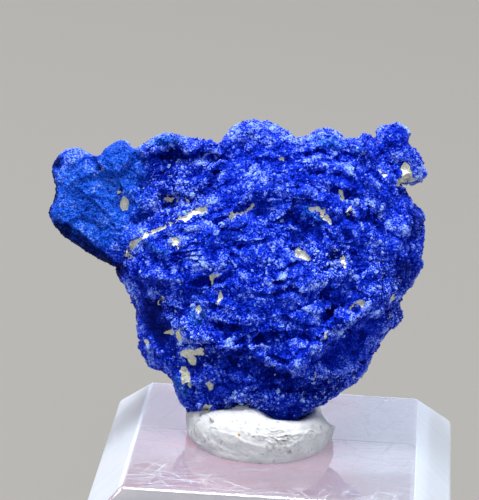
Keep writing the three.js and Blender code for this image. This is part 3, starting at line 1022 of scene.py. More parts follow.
def crust(lump, side, count, settings):
    """A dome with its crust, moved out along the normals: knobs first, then broken faces in three
    sizes and fine grit. Clay lies a little deeper. Gives points, normals and the numbers that the
    finish reads."""
    points, past_rim = dome(lump, side, count)
    outwards = 1 if side < 0 else -1
    x, z = points[..., 0], points[..., 2]
    on_face = 1 if side < 0 else 0
    marked = 1 if side < 0 else lump.get("smooth_back", 0)
    calm = marked * patch_cover(x, z, SMOOTH_PATCHES, edge=0.3)
    clay = clay_cover(x, z) if side < 0 else back_clay(points)
    normal = grid_normals(points, outwards)
    reach, size = WARP
    bend = [layered_noise(points, size, 3, Channel.WARP + 5 * axis) for axis in range(3)]
    warped = points + reach * np.stack(bend, -1)
    points = points + normal * knobs(points, warped, calm, settings)[..., None]
    normal = grid_normals(blurred(points, 1), outwards)
    rise, shade, narrow = broken_faces(points, warped, calm, settings)
    rough = rise + fine_grit(points) * (0.5 + 1.1 * calm)
    points = points + normal * (rough * (1 - 0.6 * clay))[..., None]
    points = points - normal * (CLAY_SINK * clay + SHELL_TUCK * past_rim)[..., None]
    paler = 0.9 * on_face * pale_cover(x, z)
    return {
        "points": points,
        "normals": grid_normals(blurred(points, 2), outwards),
        # The finish paints shade into recesses and a highlight onto tops from how far each point stands out.
        "proud": np.clip(proudness(points, normal) + paler, -1.5, 1.7),
        "calm": calm,
        "clay": clay,
        "azure": on_face * patch_cover(x, z, AZURE_PATCHES, edge=0.45),
        # Painted shade: the finish turns these places nearly black.
        "painted_shade": marked * painted_shade_cover(x, z) * (0.65 + 0.55 * narrow),
        "glint": on_face * patch_cover(x, z, GLINT_PATCHES, edge=0.4),
        "grain": shade,
        "bare": past_rim > 0.6,
        "side": side,
    }


def proudness(points, normal):
    """How far each point stands out of its surroundings: its height over the crust averaged close by
    and over the crust averaged wide, each as a part of a usual height."""
    step = math.sqrt(np.mean(np.linalg.norm(np.diff(points, axis=0), axis=-1) ** 2))
    near, wide = (
        np.sum((points - blurred(points, max(1, round(reach / step)))) * normal, axis=-1) / rise
        for reach, rise in (PROUD_NEAR, PROUD_WIDE)
    )
    return 0.75 * near + 0.55 * wide


def dome_triangles(rows, columns, side):
    """Triangles of a grid of points, with a fan that closes its rim to one inner point."""
    index = np.arange(rows * columns).reshape(rows, columns)
    a, b, c, d = index[:-1, :-1], index[:-1, 1:], index[1:, 1:], index[1:, :-1]
    flip = (np.add.outer(np.arange(rows - 1), np.arange(columns - 1)) % 2 == 0)[..., None]
    one = np.where(flip, np.stack([a, b, c], -1), np.stack([a, b, d], -1)).reshape(-1, 3)
    two = np.where(flip, np.stack([a, c, d], -1), np.stack([b, c, d], -1)).reshape(-1, 3)
    rim = np.concatenate([index[0, :-1], index[:-1, -1], index[-1, :0:-1], index[:0:-1, 0]])
    fan = np.stack([np.roll(rim, -1), rim, np.full(rim.shape, rows * columns)], axis=-1)
    triangles = np.vstack([one, two, fan])
    return triangles if side < 0 else triangles[:, ::-1]


def strips(shell, count):
    """A shell cut into this many strips side by side, to be closed one by one."""
    cuts = np.linspace(0, shell["points"].shape[1] - 1, count + 1).astype(int)
    for start, end in zip(cuts, cuts[1:]):
        yield {key: value if key == "side" else value[:, start : end + 1] for key, value in shell.items()}


# ---------------------------------------------------------------- meshes


def in_row_frame(points):
    """Points of the stone's frame turned and moved into the row frame."""
    return points @ FACING.T + SPECIMEN_AT


def mesh_piece(name, points, faces, attributes, node):
    """A mesh object from points in millimetres in the row frame, and faces of one size."""
    mesh = bpy.data.meshes.new(name)
    mesh.vertices.add(len(points))
    mesh.vertices.foreach_set("co", (points * MM).astype(np.float32).ravel())
    mesh.loops.add(faces.size)
    mesh.loops.foreach_set("vertex_index", faces.astype(np.int32).ravel())
    mesh.polygons.add(len(faces))
    mesh.polygons.foreach_set("loop_start", np.arange(0, faces.size, faces.shape[1], dtype=np.int32))
    mesh.update(calc_edges=True)
    mesh.shade_flat()
    for key, values in attributes.items():
        layer = mesh.attributes.new(key, "FLOAT", "POINT")
        layer.data.foreach_set("value", values.astype(np.float32).ravel())
    piece = bpy.data.objects.new(name, mesh)
    bpy.context.collection.objects.link(piece)
    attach(piece, "root")
    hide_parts(node)
    return piece


def crust_piece(name, shells):
    """Joins closed shells into one piece of azurite crust."""
    points, faces, start = [], [], 0
    numbers = {key: [] for key in CRUST_NUMBERS}
    for shell in shells:
        grid = shell["points"]
        rows, columns = grid.shape[:2]
        inner = grid[[0, -1, 0, -1], [0, 0, -1, -1]].mean(axis=0)
        points += [grid.reshape(-1, 3), inner[None]]
        faces.append(dome_triangles(rows, columns, shell["side"]) + start)
        start += rows * columns + 1
        for key in CRUST_NUMBERS:
            numbers[key] += [shell[key].ravel(), [0]]
    attributes = {key: np.concatenate(values) for key, values in numbers.items()}
    piece = mesh_piece(
        name, in_row_frame(np.vstack(points)), np.vstack(faces), attributes, "azurite_specimen"
    )
    piece.data.materials.append(azurite_finish())
    return piece


SHELLS = {}


def make_shells(settings):
    """The crust's shells, worked out once: the crystals grow on them as well."""
    if not SHELLS:
        for name, (lump, side, count) in SHELL_GRIDS.items():
            SHELLS[name] = crust(lump, side, count, settings)
    return SHELLS


# ---------------------------------------------------------------- crystals


def crystal_shape(sides=4):
    """One crystal of unit size: a prism with a foot ring, a wider shoulder ring and a point set off
    its axis. Gives points and triangles."""
    turn = np.arange(sides) * 2 * math.pi / sides
    ring = np.stack([np.cos(turn), np.sin(turn), 0 * turn], axis=-1) / 2
    points = np.vstack([ring * 0.8 - (0, 0, 0.5), ring + (0, 0, 0.2), [(0.12, 0.05, 0.5)]])
    triangles = [(0, k + 1, k) for k in range(1, sides - 1)]
    for k in range(sides):
        a, b = k, (k + 1) % sides
        triangles += [(a, b, b + sides), (a, b + sides, a + sides), (a + sides, b + sides, 2 * sides)]
    return points, np.array(triangles)


def unit(vectors):
    """Vectors scaled to length 1."""
    return vectors / np.linalg.norm(vectors, axis=-1, keepdims=True)


def crystal_sites(shells):
    """Every point of the shells: places, normals, the crust's numbers, and how likely a crystal is to
    stand there. That goes by area, less where calm, more where glinting, and none on clay or bare rim."""
    places, normals, weights = [], [], []
    numbers = {key: [] for key in CRUST_NUMBERS}
    for shell in shells:
        grid = shell["points"]
        area = np.linalg.norm(np.cross(np.gradient(grid, axis=0), np.gradient(grid, axis=1)), axis=-1)
        near_clay = shell["clay"] > 0.3
        chance = area * (1 - 0.95 * shell["calm"]) * (0.5 + shell["glint"]) * ~near_clay * ~shell["bare"]
        places.append(grid.reshape(-1, 3))
        normals.append(shell["normals"].reshape(-1, 3))
        weights.append(chance.ravel())
        for key in CRUST_NUMBERS:
            numbers[key].append(shell[key].ravel())
    numbers = {key: np.concatenate(values) for key, values in numbers.items()}
    return np.vstack(places), np.vstack(normals), numbers, np.concatenate(weights)


def grow_crystals(shells, total, size, rng):
    """Random crystals on the shells. Each stands near the normal, leant by a random vector and turned
    at random round its own axis. Gives the points, triangles and attributes of all of them."""
    places, normals, numbers, weights = crystal_sites(shells)
    chosen = rng.choice(len(weights), total, replace=False, p=weights / weights.sum())
    place, normal = places[chosen], normals[chosen]
    traits = {key: values[chosen] for key, values in numbers.items()}
    axis = unit(normal + CRYSTAL_LEAN * rng.normal(size=(total, 3)))
    across = unit(np.cross(axis, rng.normal(size=(total, 3))))
    third = np.cross(axis, across)
    uneven_size = np.clip(rng.lognormal(0, CRYSTAL_SPREAD, total), *CRYSTAL_SIZES)
    width = size * uneven_size * (1 - 0.4 * traits["calm"])
    flat = width * rng.uniform(*CRYSTAL_FLATNESS, total)
    length = width * rng.uniform(*CRYSTAL_LENGTH, total)
    shape, triangles = crystal_shape()
    scaled = shape[None] * np.stack([width, flat, length], axis=-1)[:, None]
    scaled[..., :2] *= rng.uniform(*CRYSTAL_UNEVENNESS, (total, len(shape), 1))
    spun = scaled[..., :1] * across[:, None] + scaled[..., 1:2] * third[:, None]
    spun = spun + scaled[..., 2:] * axis[:, None]
    spun += (place - normal * (length * rng.uniform(*CRYSTAL_DEPTH, total))[:, None])[:, None]
    faces = (triangles[None] + (np.arange(total) * len(shape))[:, None, None]).reshape(-1, 3)
    # The crystals' shades: in glinting places some are painted much lighter as glints, the painted highlight
    # of their tops is capped and lowered, and each takes a random part of the painted shade of its place.
    traits["grain"] = rng.uniform(0, 1, total) + 0.8 * traits["glint"] * (rng.uniform(0, 1, total) > 0.6)
    traits["proud"] = np.minimum(traits["proud"], 0.8) - 0.15
    traits["clay"] = np.zeros(total)
    traits["painted_shade"] = traits["painted_shade"] * rng.uniform(0, 1, total)
    attributes = {key: np.repeat(values, len(shape)) for key, values in traits.items()}
    return spun.reshape(-1, 3), faces, attributes


def crystal_piece(name, shells, total, size, rng):
    """A piece of joined crystals on the given shells."""
    points, faces, attributes = grow_crystals(shells, total, size, rng)
    piece = mesh_piece(name, in_row_frame(points), faces, attributes, "azurite_specimen")
    piece.data.materials.append(azurite_finish())
    return piece


# ---------------------------------------------------------------- putty pad


def stone_underside(spacing):
    """The lowest height of the crust over each square of a lattice in plan, in the row frame, and
    a function that reads it for points in plan."""
    shells = [SHELLS["rosette_front"], SHELLS["rosette_back"]]
    cloud = in_row_frame(np.vstack([shell["points"].reshape(-1, 3) for shell in shells]))
    low = PAD_LOW[:2] - 2
    size = np.ceil((PAD_HIGH[:2] + 2 - low) / spacing).astype(int)
    lowest = np.full(size, BLOCK_TOP + 30.0)
    cell = np.floor((cloud[:, :2] - low) / spacing).astype(int)
    inside = np.all((cell >= 0) & (cell < size), axis=1)
    np.minimum.at(lowest, tuple(cell[inside].T), cloud[inside, 2])
    lowest = blurred(lowest, 1)

    def height_at(x, y):
        i = np.clip(((x - low[0]) / spacing).astype(int), 0, size[0] - 1)
        j = np.clip(((y - low[1]) / spacing).astype(int), 0, size[1] - 1)
        return lowest[i, j]

    return height_at


def putty_surface(settings):
    """The pad: x and y go round as a circle times c(sin p), the height as c(cos p), p from pole to
    pole, where c(v) = |v|^squareness with v's sign, pressed flat below. Then it is worked on by
    hand, as putty_marks says."""
    centre = (PAD_LOW + PAD_HIGH) / 2
    half = (PAD_HIGH - PAD_LOW) / 2
    rows, columns = PUTTY_GRID
    p, u = np.meshgrid(np.linspace(0, math.pi, rows), np.arange(columns) / columns, indexing="ij")

    def cushion(value):
        return np.sign(value) * np.abs(value) ** settings.squareness

    ring = cushion(np.sin(p))
    x = centre[0] + half[0] * ring * np.cos(2 * math.pi * u)
    y = centre[1] + half[1] * ring * np.sin(2 * math.pi * u)
    height = (settings.height + settings.pressed) * 0.5 * (1 + cushion(np.cos(p))) - settings.pressed
    points = np.stack([x, y, BLOCK_TOP + np.maximum(PUTTY_FILM, height)], axis=-1)
    normal = grid_normals(np.concatenate([points, points[:, :1]], axis=1), 1)[:, :-1]
    free = ramp(height, 0, 0.8) * ramp(np.sin(p), 0, 0.1)
    return points + normal * (putty_marks(points) * free)[..., None]


def putty_marks(points):
    """Height of the marks of hands on the pad: broad lumps, thin creases where a smooth noise
    crosses zero, a few long folds, torn patches of small ridged noise and one pit."""
    x, y, z = points[..., 0], points[..., 1], points[..., 2] - BLOCK_TOP
    front = ramp(-y, 1, 2.5)
    lumps = 0.16 * layered_noise(points, 3, 2, Channel.PUTTY_LUMPS)
    dents = 0.035 * layered_noise(points, 0.8, 3, Channel.PUTTY_DENTS)
    crossing = np.abs(layered_noise(points * (1, 1, 2.2), 2.6, 3, Channel.PUTTY_CREASES))
    creased = ramp(smooth_noise(points, 2.2, Channel.PUTTY_CREASED), -0.2, 0.4)
    creases = -0.1 * np.exp(-((crossing / 0.035) ** 2)) * creased
    folds = sum(rise * ledge(x, z, width, line, PUTTY_LEDGE) for width, rise, line in PUTTY_FOLDS)
    ridged = 0.5 - np.abs(layered_noise(points * (1, 1, 1.8), 0.55, 3, Channel.PUTTY_TORN))
    torn = 0.17 * patch_cover(x, z, PUTTY_TEARS, edge=0.5) * ridged
    pit_x, pit_z, pit_radius, pit_depth = PUTTY_PIT
    pit = pit_depth * np.exp(-((np.hypot(x - pit_x, (z - pit_z) * 1.4) / pit_radius) ** 4))
    return lumps + dents + creases + (folds + torn - pit) * front


def dipped(x, y, z):
    """The pad's heights with its dips: each dip is a soft upper limit that falls towards the back."""
    for middle, width, height, back in PUTTY_DIPS:
        dip = np.exp(-(((x - middle) / width) ** 4)) * (1 - ramp(y, back, back + PUTTY_DIP_END))
        above = z - BLOCK_TOP - height + PUTTY_SLOPE * y
        z = z - dip * PUTTY_SOFTNESS * np.logaddexp(0, above / PUTTY_SOFTNESS)
    return z


def seated(x, y, z):
    """The pad's heights with the dent that the stone presses in it."""
    under = stone_underside(SEAT_SPACING)(x, y)
    z = np.minimum(z, np.maximum(under - SEAT_GAP, BLOCK_TOP + THINNEST_SEAT))
    return np.maximum(z, BLOCK_TOP + PUTTY_FILM)


def putty_numbers(points):
    """The numbers that the putty's finish reads: its rusty stain and its torn places, both in front."""
    x, z = points[:, 0], points[:, 2] - BLOCK_TOP
    in_front = points[:, 1] < 0
    stain_x, stain_z, stain_radius = PUTTY_STAIN
    away = np.hypot(x - stain_x, z - stain_z) / stain_radius
    torn = patch_cover(x, z, PUTTY_TEARS, edge=0.6)
    return {"stain": np.exp(-(away**2)) * in_front, "torn": torn * in_front}


def closed_round(grid):
    """A grid of rows from pole to pole, closed round and with one point at each pole, as points and
    triangles."""
    rows, columns = grid.shape[:2]
    points = np.vstack([grid[:1, :1].reshape(1, 3), grid[1:-1].reshape(-1, 3), grid[-1:, :1].reshape(1, 3)])
    index = 1 + np.arange((rows - 2) * columns).reshape(rows - 2, columns)
    following = np.roll(index, -1, axis=1)
    a, b, c, d = index[:-1], index[1:], following[1:], following[:-1]
    last = len(points) - 1
    first_fan = np.stack([np.zeros(columns, int), index[0], following[0]], axis=-1)
    last_fan = np.stack([np.full(columns, last), following[-1], index[-1]], axis=-1)
    one, two = (np.stack(corner, axis=-1).reshape(-1, 3) for corner in ((a, b, c), (a, c, d)))
    return points, np.vstack([first_fan, one, two, last_fan])


# ---------------------------------------------------------------- finishes


class Value:
    """A number that changes over a surface: a node's output, on which + - * add Math nodes."""

    def __init__(self, paint, socket):
        self.paint = paint
        self.socket = socket

    def maths(self, operation, *terms):
        """A Math node of these terms, which are Values or plain numbers."""
        sockets = dict(enumerate(terms))
        node = self.paint.node("ShaderNodeMath", {"operation": operation}, sockets)
        return Value(self.paint, node.outputs[0])

    def __add__(self, other):
        return self.maths("ADD", self, other)

    def __sub__(self, other):
        return self.maths("SUBTRACT", self, other)

    def __rsub__(self, other):
        return self.maths("SUBTRACT", other, self)

    def __mul__(self, other):
        return self.maths("MULTIPLY", self, other)

    __radd__ = __add__
    __rmul__ = __mul__

    def between(self, low, high):
        """0 at low or below, 1 at high or above."""
        node = self.paint.node(
            "ShaderNodeMapRange", {"clamp": True}, {"Value": self, "From Min": low, "From Max": high}
        )
        return Value(self.paint, node.outputs["Result"])


class Paint:
    """The node tree of one material, with its shader."""

    def __init__(self, name):
        self.material = bpy.data.materials.new(name)
        self.material.use_nodes = True
        self.tree = self.material.node_tree
        self.shader = self.tree.nodes["Principled BSDF"]

    def node(self, kind, settings, sockets):
        """Adds a node of this kind, sets its settings, then its sockets' values or links."""
        made = self.tree.nodes.new(kind)
        for key, setting in settings.items():
            setattr(made, key, setting)
        for key, value in sockets.items():
            self.put(made.inputs[key], value)
        return made

    def put(self, socket, value):
        """Links a Value or a socket to this socket, or sets its number, vector or colour."""
        if isinstance(value, Value):
            value = value.socket
        if isinstance(value, bpy.types.NodeSocket):
            self.tree.links.new(value, socket)
        elif hasattr(value, "__len__") and len(value) == 3 and socket.type == "RGBA":
            socket.default_value = (*value, 1)
        else:
            socket.default_value = value

    def attribute(self, name):
        """A number that the piece keeps at each vertex."""
        node = self.node("ShaderNodeAttribute", {"attribute_name": name}, {})
        return Value(self, node.outputs["Fac"])

    def places(self):
        """The piece's own coordinates, in metres."""
        return self.node("ShaderNodeTexCoord", {}, {}).outputs["Object"]

    def along(self, axis):
        """How far along this axis each place is, in metres."""
        node = self.node("ShaderNodeSeparateXYZ", {}, {"Vector": self.places()})
        return Value(self, node.outputs[axis])

    def noise(self, size_mm, detail=2.0, stretch=(1, 1, 1), turn=(0, 0, 0)):
        """Noise from 0 to 1 with features of about this size, stretched along axes that are turned."""
        mapping = self.node(
            "ShaderNodeMapping", {"vector_type": "TEXTURE"},
            {"Vector": self.places(), "Scale": stretch, "Rotation": turn},
        )
        node = self.node(
            "ShaderNodeTexNoise", {},
            {"Vector": mapping.outputs[0], "Scale": 1 / (size_mm * MM), "Detail": detail},
        )
        return Value(self, node.outputs["Fac"])

    def mix(self, factor, first, second):
        """first where factor is 0 and second where it is 1. Both are colours."""
        node = self.node(
            "ShaderNodeMix", {"data_type": "RGBA", "clamp_factor": True}, {0: factor, 6: first, 7: second}
        )
        return node.outputs[2]

    def bump(self, height, distance_mm, strength=1.0):
        """Small relief that the shader reads as a normal."""
        node = self.node(
            "ShaderNodeBump", {}, {"Height": height, "Distance": distance_mm * MM, "Strength": strength}
        )
        return node.outputs["Normal"]

    def overlay(self, factor, colour):
        """Mixes a matt colour over the shader where factor is above 0."""
        matt = self.node("ShaderNodeBsdfDiffuse", {}, {"Color": colour})
        output = self.tree.nodes["Material Output"].inputs["Surface"]
        under = output.links[0].from_socket
        mixed = self.node("ShaderNodeMixShader", {}, {0: factor, 1: under, 2: matt.outputs[0]})
        self.tree.links.new(mixed.outputs[0], output)

    def set(self, **sockets):
        """Sets the shader's sockets; an underscore in a name stands for a space."""
        for key, value in sockets.items():
            self.put(self.shader.inputs[key.replace("_", " ")], value)


def weighed(level, weights, numbers):
    """level plus the sum of each number times its weight."""
    for key, weight in weights.items():
        level = numbers[key] * weight + level
    return level


def crust_colour(paint, numbers, settings):
    """The crust's blue, and how light it is: deep in its recesses by painted shade and pale on its tops
    partly by a painted highlight, lighter azure where smooth, and nearly black where painted shade is
    strongest."""
    azure = numbers["azure"]
    light = weighed(ROUGH_LEVEL, ROUGH_LIGHT, numbers)
    smooth_light = weighed(SMOOTH_LEVEL, SMOOTH_LIGHT, numbers)
    # Painted shade: the places of least lightness, most of them recesses, turn deep blue.
    body = paint.mix(light.between(-0.85, -0.15), CREVICE_SHADE_BLUE, settings.deep_blue)
    body = paint.mix(light.between(-0.25, 0.4), body, settings.azurite_blue)
    smooth = paint.mix(smooth_light.between(-0.4, 0.45), SHADED_AZURE, settings.azure)
    body = paint.mix(azure * 0.85, body, smooth)
    # Partly a painted highlight: the lightest places, most of them tops, turn pale blue.
    body = paint.mix(light.between(0.4, 1.1) * (1 - azure * 0.4), body, settings.pale_blue)
    body = paint.mix(smooth_light.between(0.5, 1.2) * azure * 0.4, body, settings.pale_blue)
    # Painted shade: the shaded places turn nearly black.
    return paint.mix(numbers["painted_shade"] * 0.8, body, PAINTED_SHADE_BLACK), light


def azurite_finish():
    """Blue crust, with each grain a little different, and matt cream clay in its pits."""
    name = "crust_blue"
    if name in bpy.data.materials:
        return bpy.data.materials[name]
    settings = bpy.context.scene.specimen_settings
    paint = Paint(name)
    numbers = {key: paint.attribute(key) for key in CRUST_NUMBERS}
    calm, clay = numbers["calm"], numbers["clay"]
    speck = paint.noise(0.14, 2).between(0.3, 0.7)
    numbers["speck"] = speck
    # Painted glints: the specks count for more in the glinting places.
    numbers["glinting"] = speck * numbers["glint"]
    numbers["mottle"] = paint.noise(1.1, 5)
    streaks = paint.noise(0.24, 3, (1, 1, 4), (0, math.radians(-45), 0))
    numbers["streaks"] = streaks.between(0.3, 0.7)
    body, light = crust_colour(paint, numbers, settings)
    earth = paint.mix(paint.noise(0.4, 4).between(0.35, 0.65), DULL_CLAY, settings.clay)
    # Painted shade: the clay turns darker towards its sunken rim.
    earth = paint.mix(clay.between(0.35, 0.65), CLAY_RIM_SHADE, earth)
    covered = (clay + speck * 0.4 - 0.2).between(0.42, 0.55)
    sheen = light.between(-0.2, 0.8)
    paint.set(
        Base_Color=paint.mix(covered, body, earth),
        Roughness=(0.62 - sheen * 0.36 + calm * 0.12) * (1 - covered) + covered * 0.9,
        Specular_IOR_Level=0.32,
        Specular_Tint=BLUE_SHEEN,
        IOR=1.5,
        Normal=paint.bump(speck + paint.noise(0.09, 1) * 0.5, 0.1, 0.7),
    )
    return paint.material


def putty_finish():
    """Matt off-white putty with faint dirt, small blue and grey specks, one rusty stain and painted shade in
    each crevice of its torn places.
    """
    settings = bpy.context.scene.putty_settings
    paint = Paint("putty_white")
    dirt = paint.noise(0.9, 6).between(0.42, 0.72)
    grey = paint.noise(0.42, 2).between(0.66, 0.72)
    blue = paint.noise(0.5, 1, turn=(1, 2, 3)).between(0.71, 0.75)
    colour = paint.mix(dirt * 0.45, settings.colour, PUTTY_DIRT)
    colour = paint.mix(grey * 0.55, colour, PUTTY_GREY_SPECK)
    colour = paint.mix(blue * 0.5, colour, PUTTY_BLUE_SPECK)
    # Painted shade: darker crevice lines in the torn places.
    crevice_shade = paint.noise(0.3, 3, (1.6, 1.6, 1)).between(0.56, 0.64) * paint.attribute("torn")
    colour = paint.mix(crevice_shade * 0.8, colour, PUTTY_CREVICE_SHADE)
    stain = paint.attribute("stain")
    colour = paint.mix(stain.between(0.1, 0.6), colour, RUST_HALO)
    colour = paint.mix(stain.between(0.6, 0.85), colour, RUST)
    paint.set(
        Base_Color=colour,
        Roughness=0.75 + dirt * 0.15,
        Specular_IOR_Level=0.2,
        Normal=paint.bump(paint.noise(0.35, 5), 0.1, 0.6),
    )
    return paint.material


def acrylic_finish(name, haze_and_sky_reflection, wear):
    """Clear acrylic with a faint lavender tint, faint streaks and this much haziness, which is partly a
    painted reflection of the bright sky. With wear it is crossed by fine scratches as well, which show
    most in worn places near the front."""
    settings = bpy.context.scene.block_settings
    paint = Paint(name)
    roughness = 0.03
    # Faint streaks and the haziness, partly a painted sky reflection, mix in as matt bluish white.
    marks = paint.noise(0.5, 3, (40, 1, 40)).between(0.5, 0.8) * 0.05 + haze_and_sky_reflection
    if wear:
        scratches = 0
        for angle, width_mm in SCRATCHES:
            fine = paint.noise(width_mm, 1, (1, 40, 1), (0, 0, math.radians(angle)))
            scratches = fine.between(0.65, 0.72) + scratches
        worn = paint.along("Y").between(-3 * MM, -9 * MM) * paint.noise(5, 2).between(0.4, 0.6)
        roughness = scratches * 0.12 + roughness
        marks = scratches * (0.03 + worn * wear) + marks
    paint.set(
        Base_Color=tuple(settings.tint),
        Transmission_Weight=settings.clearness,
        IOR=settings.refraction,
        Roughness=roughness,
    )
    paint.overlay(marks, SCRATCH_AND_SKY_REFLECTION_WHITE)
    return paint.material


def underside_finish():
    """The block's underside: sawn acrylic, matt with fine saw lines, pale pink and more blue at its right;
    its pink and blue are a painted reflection of what lies under and round the block.
    """
    settings = bpy.context.scene.block_settings
    paint = Paint("sawn_underside")
    lines = paint.noise(1.6, 4, (8, 1, 1)).between(0.35, 0.65)
    colour = paint.mix(lines, tuple(settings.underside), SAW_LINES)
    # Painted reflection: more blue towards the right.
    bluer_reflection = paint.along("X").between(4 * MM, 9 * MM)
    paint.set(
        Base_Color=paint.mix(bluer_reflection * 0.8, colour, UNDERSIDE_REFLECTED_BLUE),
        Roughness=0.8,
    )
    return paint.material


def floor_finish():
    """Plain pale floor."""
    settings = bpy.context.scene.stage_settings
    paint = Paint("pale_floor")
    paint.set(Base_Color=tuple(settings.floor_colour), Roughness=0.9)
    return paint.material


# ---------------------------------------------------------------- operators


class AZURITE_OT_crust(Operator):
    """Builds the crust of the stone: rosette, wing and sprig"""

    bl_idname = "azurite.crust"
    bl_label = "Azurite crust"

    def execute(self, context):
        shells = make_shells(context.scene.specimen_settings)
        for name, strip in zip(("left", "right"), strips(shells["rosette_front"], 2)):
            crust_piece(f"rosette_front_{name}", [strip])
        crust_piece("rosette_back", [shells["rosette_back"]])
        crust_piece("wing", [shells["wing_front"], shells["wing_back"]])
        crust_piece("sprig", [shells["sprig_front"], shells["sprig_back"]])
        return {"FINISHED"}


class AZURITE_OT_crystals(Operator):
    """Grows small joined crystals on the crust"""

    bl_idname = "azurite.crystals"
    bl_label = "Azurite crystals"

    def execute(self, context):
        settings = context.scene.specimen_settings
        shells = make_shells(settings)
        rng = np.random.default_rng(settings.seed)
        size = settings.crystal_size
        half = settings.crystals_front // 2
        crystal_piece("crystals_front_a", [shells["rosette_front"]], half, size, rng)
        crystal_piece("crystals_front_b", [shells["rosette_front"]], half, size * 0.8, rng)
        crystal_piece("crystals_back", [shells["rosette_back"]], settings.crystals_back, size, rng)
        sides = [shells[name] for name in ("wing_front", "wing_back", "sprig_front", "sprig_back")]
        crystal_piece("crystals_wing", sides, settings.crystals_sides, size * 0.85, rng)
        return {"FINISHED"}


class AZURITE_OT_putty(Operator):
    """Builds the putty pad, dented by the stone"""

    bl_idname = "azurite.putty"
    bl_label = "Putty pad"

    def execute(self, context):
        settings = context.scene.putty_settings
        x, y, z = np.moveaxis(putty_surface(settings), -1, 0)
        z = seated(x, y, dipped(x, y, z))
        points, faces = closed_round(np.stack([x, y, z], axis=-1))
        piece = mesh_piece("putty", points, faces, putty_numbers(points), "putty_pad")
        piece.data.materials.append(putty_finish())
        piece.data.shade_smooth()
        return {"FINISHED"}


class AZURITE_OT_block(Operator):
    """Builds the display block with its bevel and rounded edges"""

    bl_idname = "azurite.block"
    bl_label = "Display block"

    def execute(self, context):
        settings = context.scene.block_settings
        half = (BLOCK_HIGH[0] - BLOCK_LOW[0]) / 2
        bevel = settings.bevel / MM
        rings = [(half, BLOCK_LOW[2] + BLOCK_LIFT), (half, BLOCK_TOP - bevel), (half - bevel, BLOCK_TOP)]
        corners = np.array([(1, 1), (-1, 1), (-1, -1), (1, -1)], float)
        points = np.vstack([np.hstack([corners * reach, np.full((4, 1), z)]) for reach, z in rings])
        faces = [(3, 2, 1, 0), (8, 9, 10, 11)]
        faces += [
            (ring * 4 + k, ring * 4 + (k + 1) % 4, ring * 4 + (k + 1) % 4 + 4, ring * 4 + k + 4)
            for ring in (0, 1)
            for k in range(4)
        ]
        piece = mesh_piece("block", points, np.array(faces), {}, "display_block")
        finishes = (
            underside_finish(),
            acrylic_finish("worn_acrylic", 0, TOP_WEAR),
            acrylic_finish("clear_acrylic", FACE_HAZE_AND_SKY_REFLECTION, 0),
            acrylic_finish("hazy_acrylic", settings.haze_and_sky_reflection, 0),
        )
        for finish in finishes:
            piece.data.materials.append(finish)
        # The underside comes first and then the top. After them clear front and back faces take turns
        # with hazy left and right ones, whose haziness is partly a painted reflection of the sky.
        for polygon in piece.data.polygons:
            polygon.material_index = min(polygon.index, 2 + polygon.index % 2)
        rounding = piece.modifiers.new("rounding", "BEVEL")
        rounding.width = settings.edge_radius
        rounding.segments = 3
        rounding.limit_method = "ANGLE"
        rounding.angle_limit = math.radians(20)
        return {"FINISHED"}


def area_light(name, light, target, power):
    """A soft light, given as its place, its width and height and its colour, aimed at target."""
    place, size, colour = light
    data = bpy.data.lights.new(name, "AREA")
    data.shape = "RECTANGLE"
    data.size, data.size_y = size
    data.energy = power
    data.color = colour
    made = bpy.data.objects.new(name, data)
    made.location = place
    made.rotation_euler = (Vector(target) - Vector(place)).to_track_quat("-Z", "Y").to_euler()
    bpy.context.collection.objects.link(made)
    return made


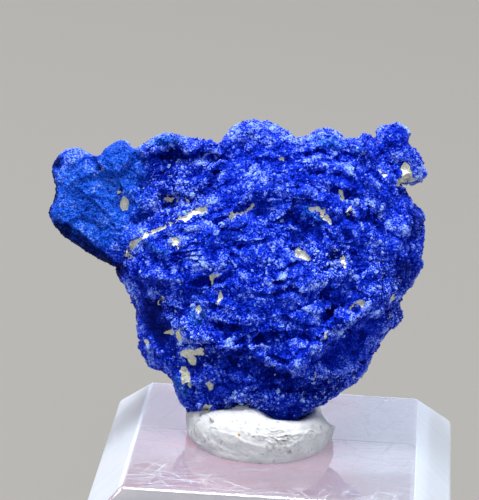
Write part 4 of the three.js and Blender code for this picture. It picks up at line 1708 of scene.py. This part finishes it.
class AZURITE_OT_stage(Operator):
    """Sets up the floor, the soft light and the camera"""

    bl_idname = "azurite.stage"
    bl_label = "Stage"

    def execute(self, context):
        settings = context.scene.stage_settings
        quarters = ((-1, -1), (1, -1), (1, 1), (-1, 1))
        corners = [(x * FLOOR_REACH, y * FLOOR_REACH, 0) for x, y in quarters]
        mesh = bpy.data.meshes.new("floor")
        mesh.from_pydata(corners, [], [(0, 1, 2, 3)])
        floor = bpy.data.objects.new("floor", mesh)
        floor.data.materials.append(floor_finish())
        context.collection.objects.link(floor)
        middle = tuple(SPECIMEN_AT * MM)
        area_light("overhead", OVERHEAD_LIGHT, OVERHEAD_TARGET, settings.key_power)
        back = area_light("back", BACK_LIGHT, middle, settings.back_power)
        back.visible_camera = False
        area_light("front", FRONT_LIGHT, middle, settings.fill_power)
        world = bpy.data.worlds.new("studio")
        world.use_nodes = True
        background = world.node_tree.nodes["Background"]
        background.inputs["Color"].default_value = SKY_COLOUR
        background.inputs["Strength"].default_value = settings.sky_strength
        context.scene.world = world
        context.scene.view_settings.view_transform = "Standard"
        self.place_camera(context, settings)
        return {"FINISHED"}

    def place_camera(self, context, settings):
        """The camera faces the stone square on, from the distance at which its lens frames it."""
        data = bpy.data.cameras.new("camera")
        data.lens = settings.lens
        data.clip_start, data.clip_end = CAMERA_CLIP
        camera = bpy.data.objects.new("camera", data)
        context.collection.objects.link(camera)
        facing = Matrix([[row[0], row[2], -row[1]] for row in FACING.tolist()])
        place = in_row_frame(np.array(CAMERA_FROM_STONE)) * MM
        camera.matrix_world = Matrix.Translation(Vector(place)) @ facing.to_4x4()
        context.scene.camera = camera


class AZURITE_PT_panel(Panel):
    """Lists the steps that build the specimen"""

    bl_label = "Azurite specimen"
    bl_idname = "AZURITE_PT_panel"
    bl_space_type = "VIEW_3D"
    bl_region_type = "UI"
    bl_category = "Azurite"

    def draw(self, context):
        for step in STEPS:
            self.layout.operator(step.bl_idname)


STEPS = (AZURITE_OT_crust, AZURITE_OT_crystals, AZURITE_OT_putty, AZURITE_OT_block, AZURITE_OT_stage)
GROUPS = {
    "specimen_settings": SpecimenSettings,
    "putty_settings": PuttySettings,
    "block_settings": BlockSettings,
    "stage_settings": StageSettings,
}


def register():
    for made in (*GROUPS.values(), *STEPS, AZURITE_PT_panel):
        bpy.utils.register_class(made)
    for name, group in GROUPS.items():
        setattr(bpy.types.Scene, name, PointerProperty(type=group))


def unregister():
    for name in GROUPS:
        delattr(bpy.types.Scene, name)
    for made in (AZURITE_PT_panel, *reversed(STEPS), *reversed(GROUPS.values())):
        bpy.utils.unregister_class(made)


def main():
    register()
    bpy.ops.azurite.crust()
    bpy.ops.azurite.crystals()
    bpy.ops.azurite.putty()
    bpy.ops.azurite.block()
    bpy.ops.azurite.stage()


if __name__ == "__main__":
    main()
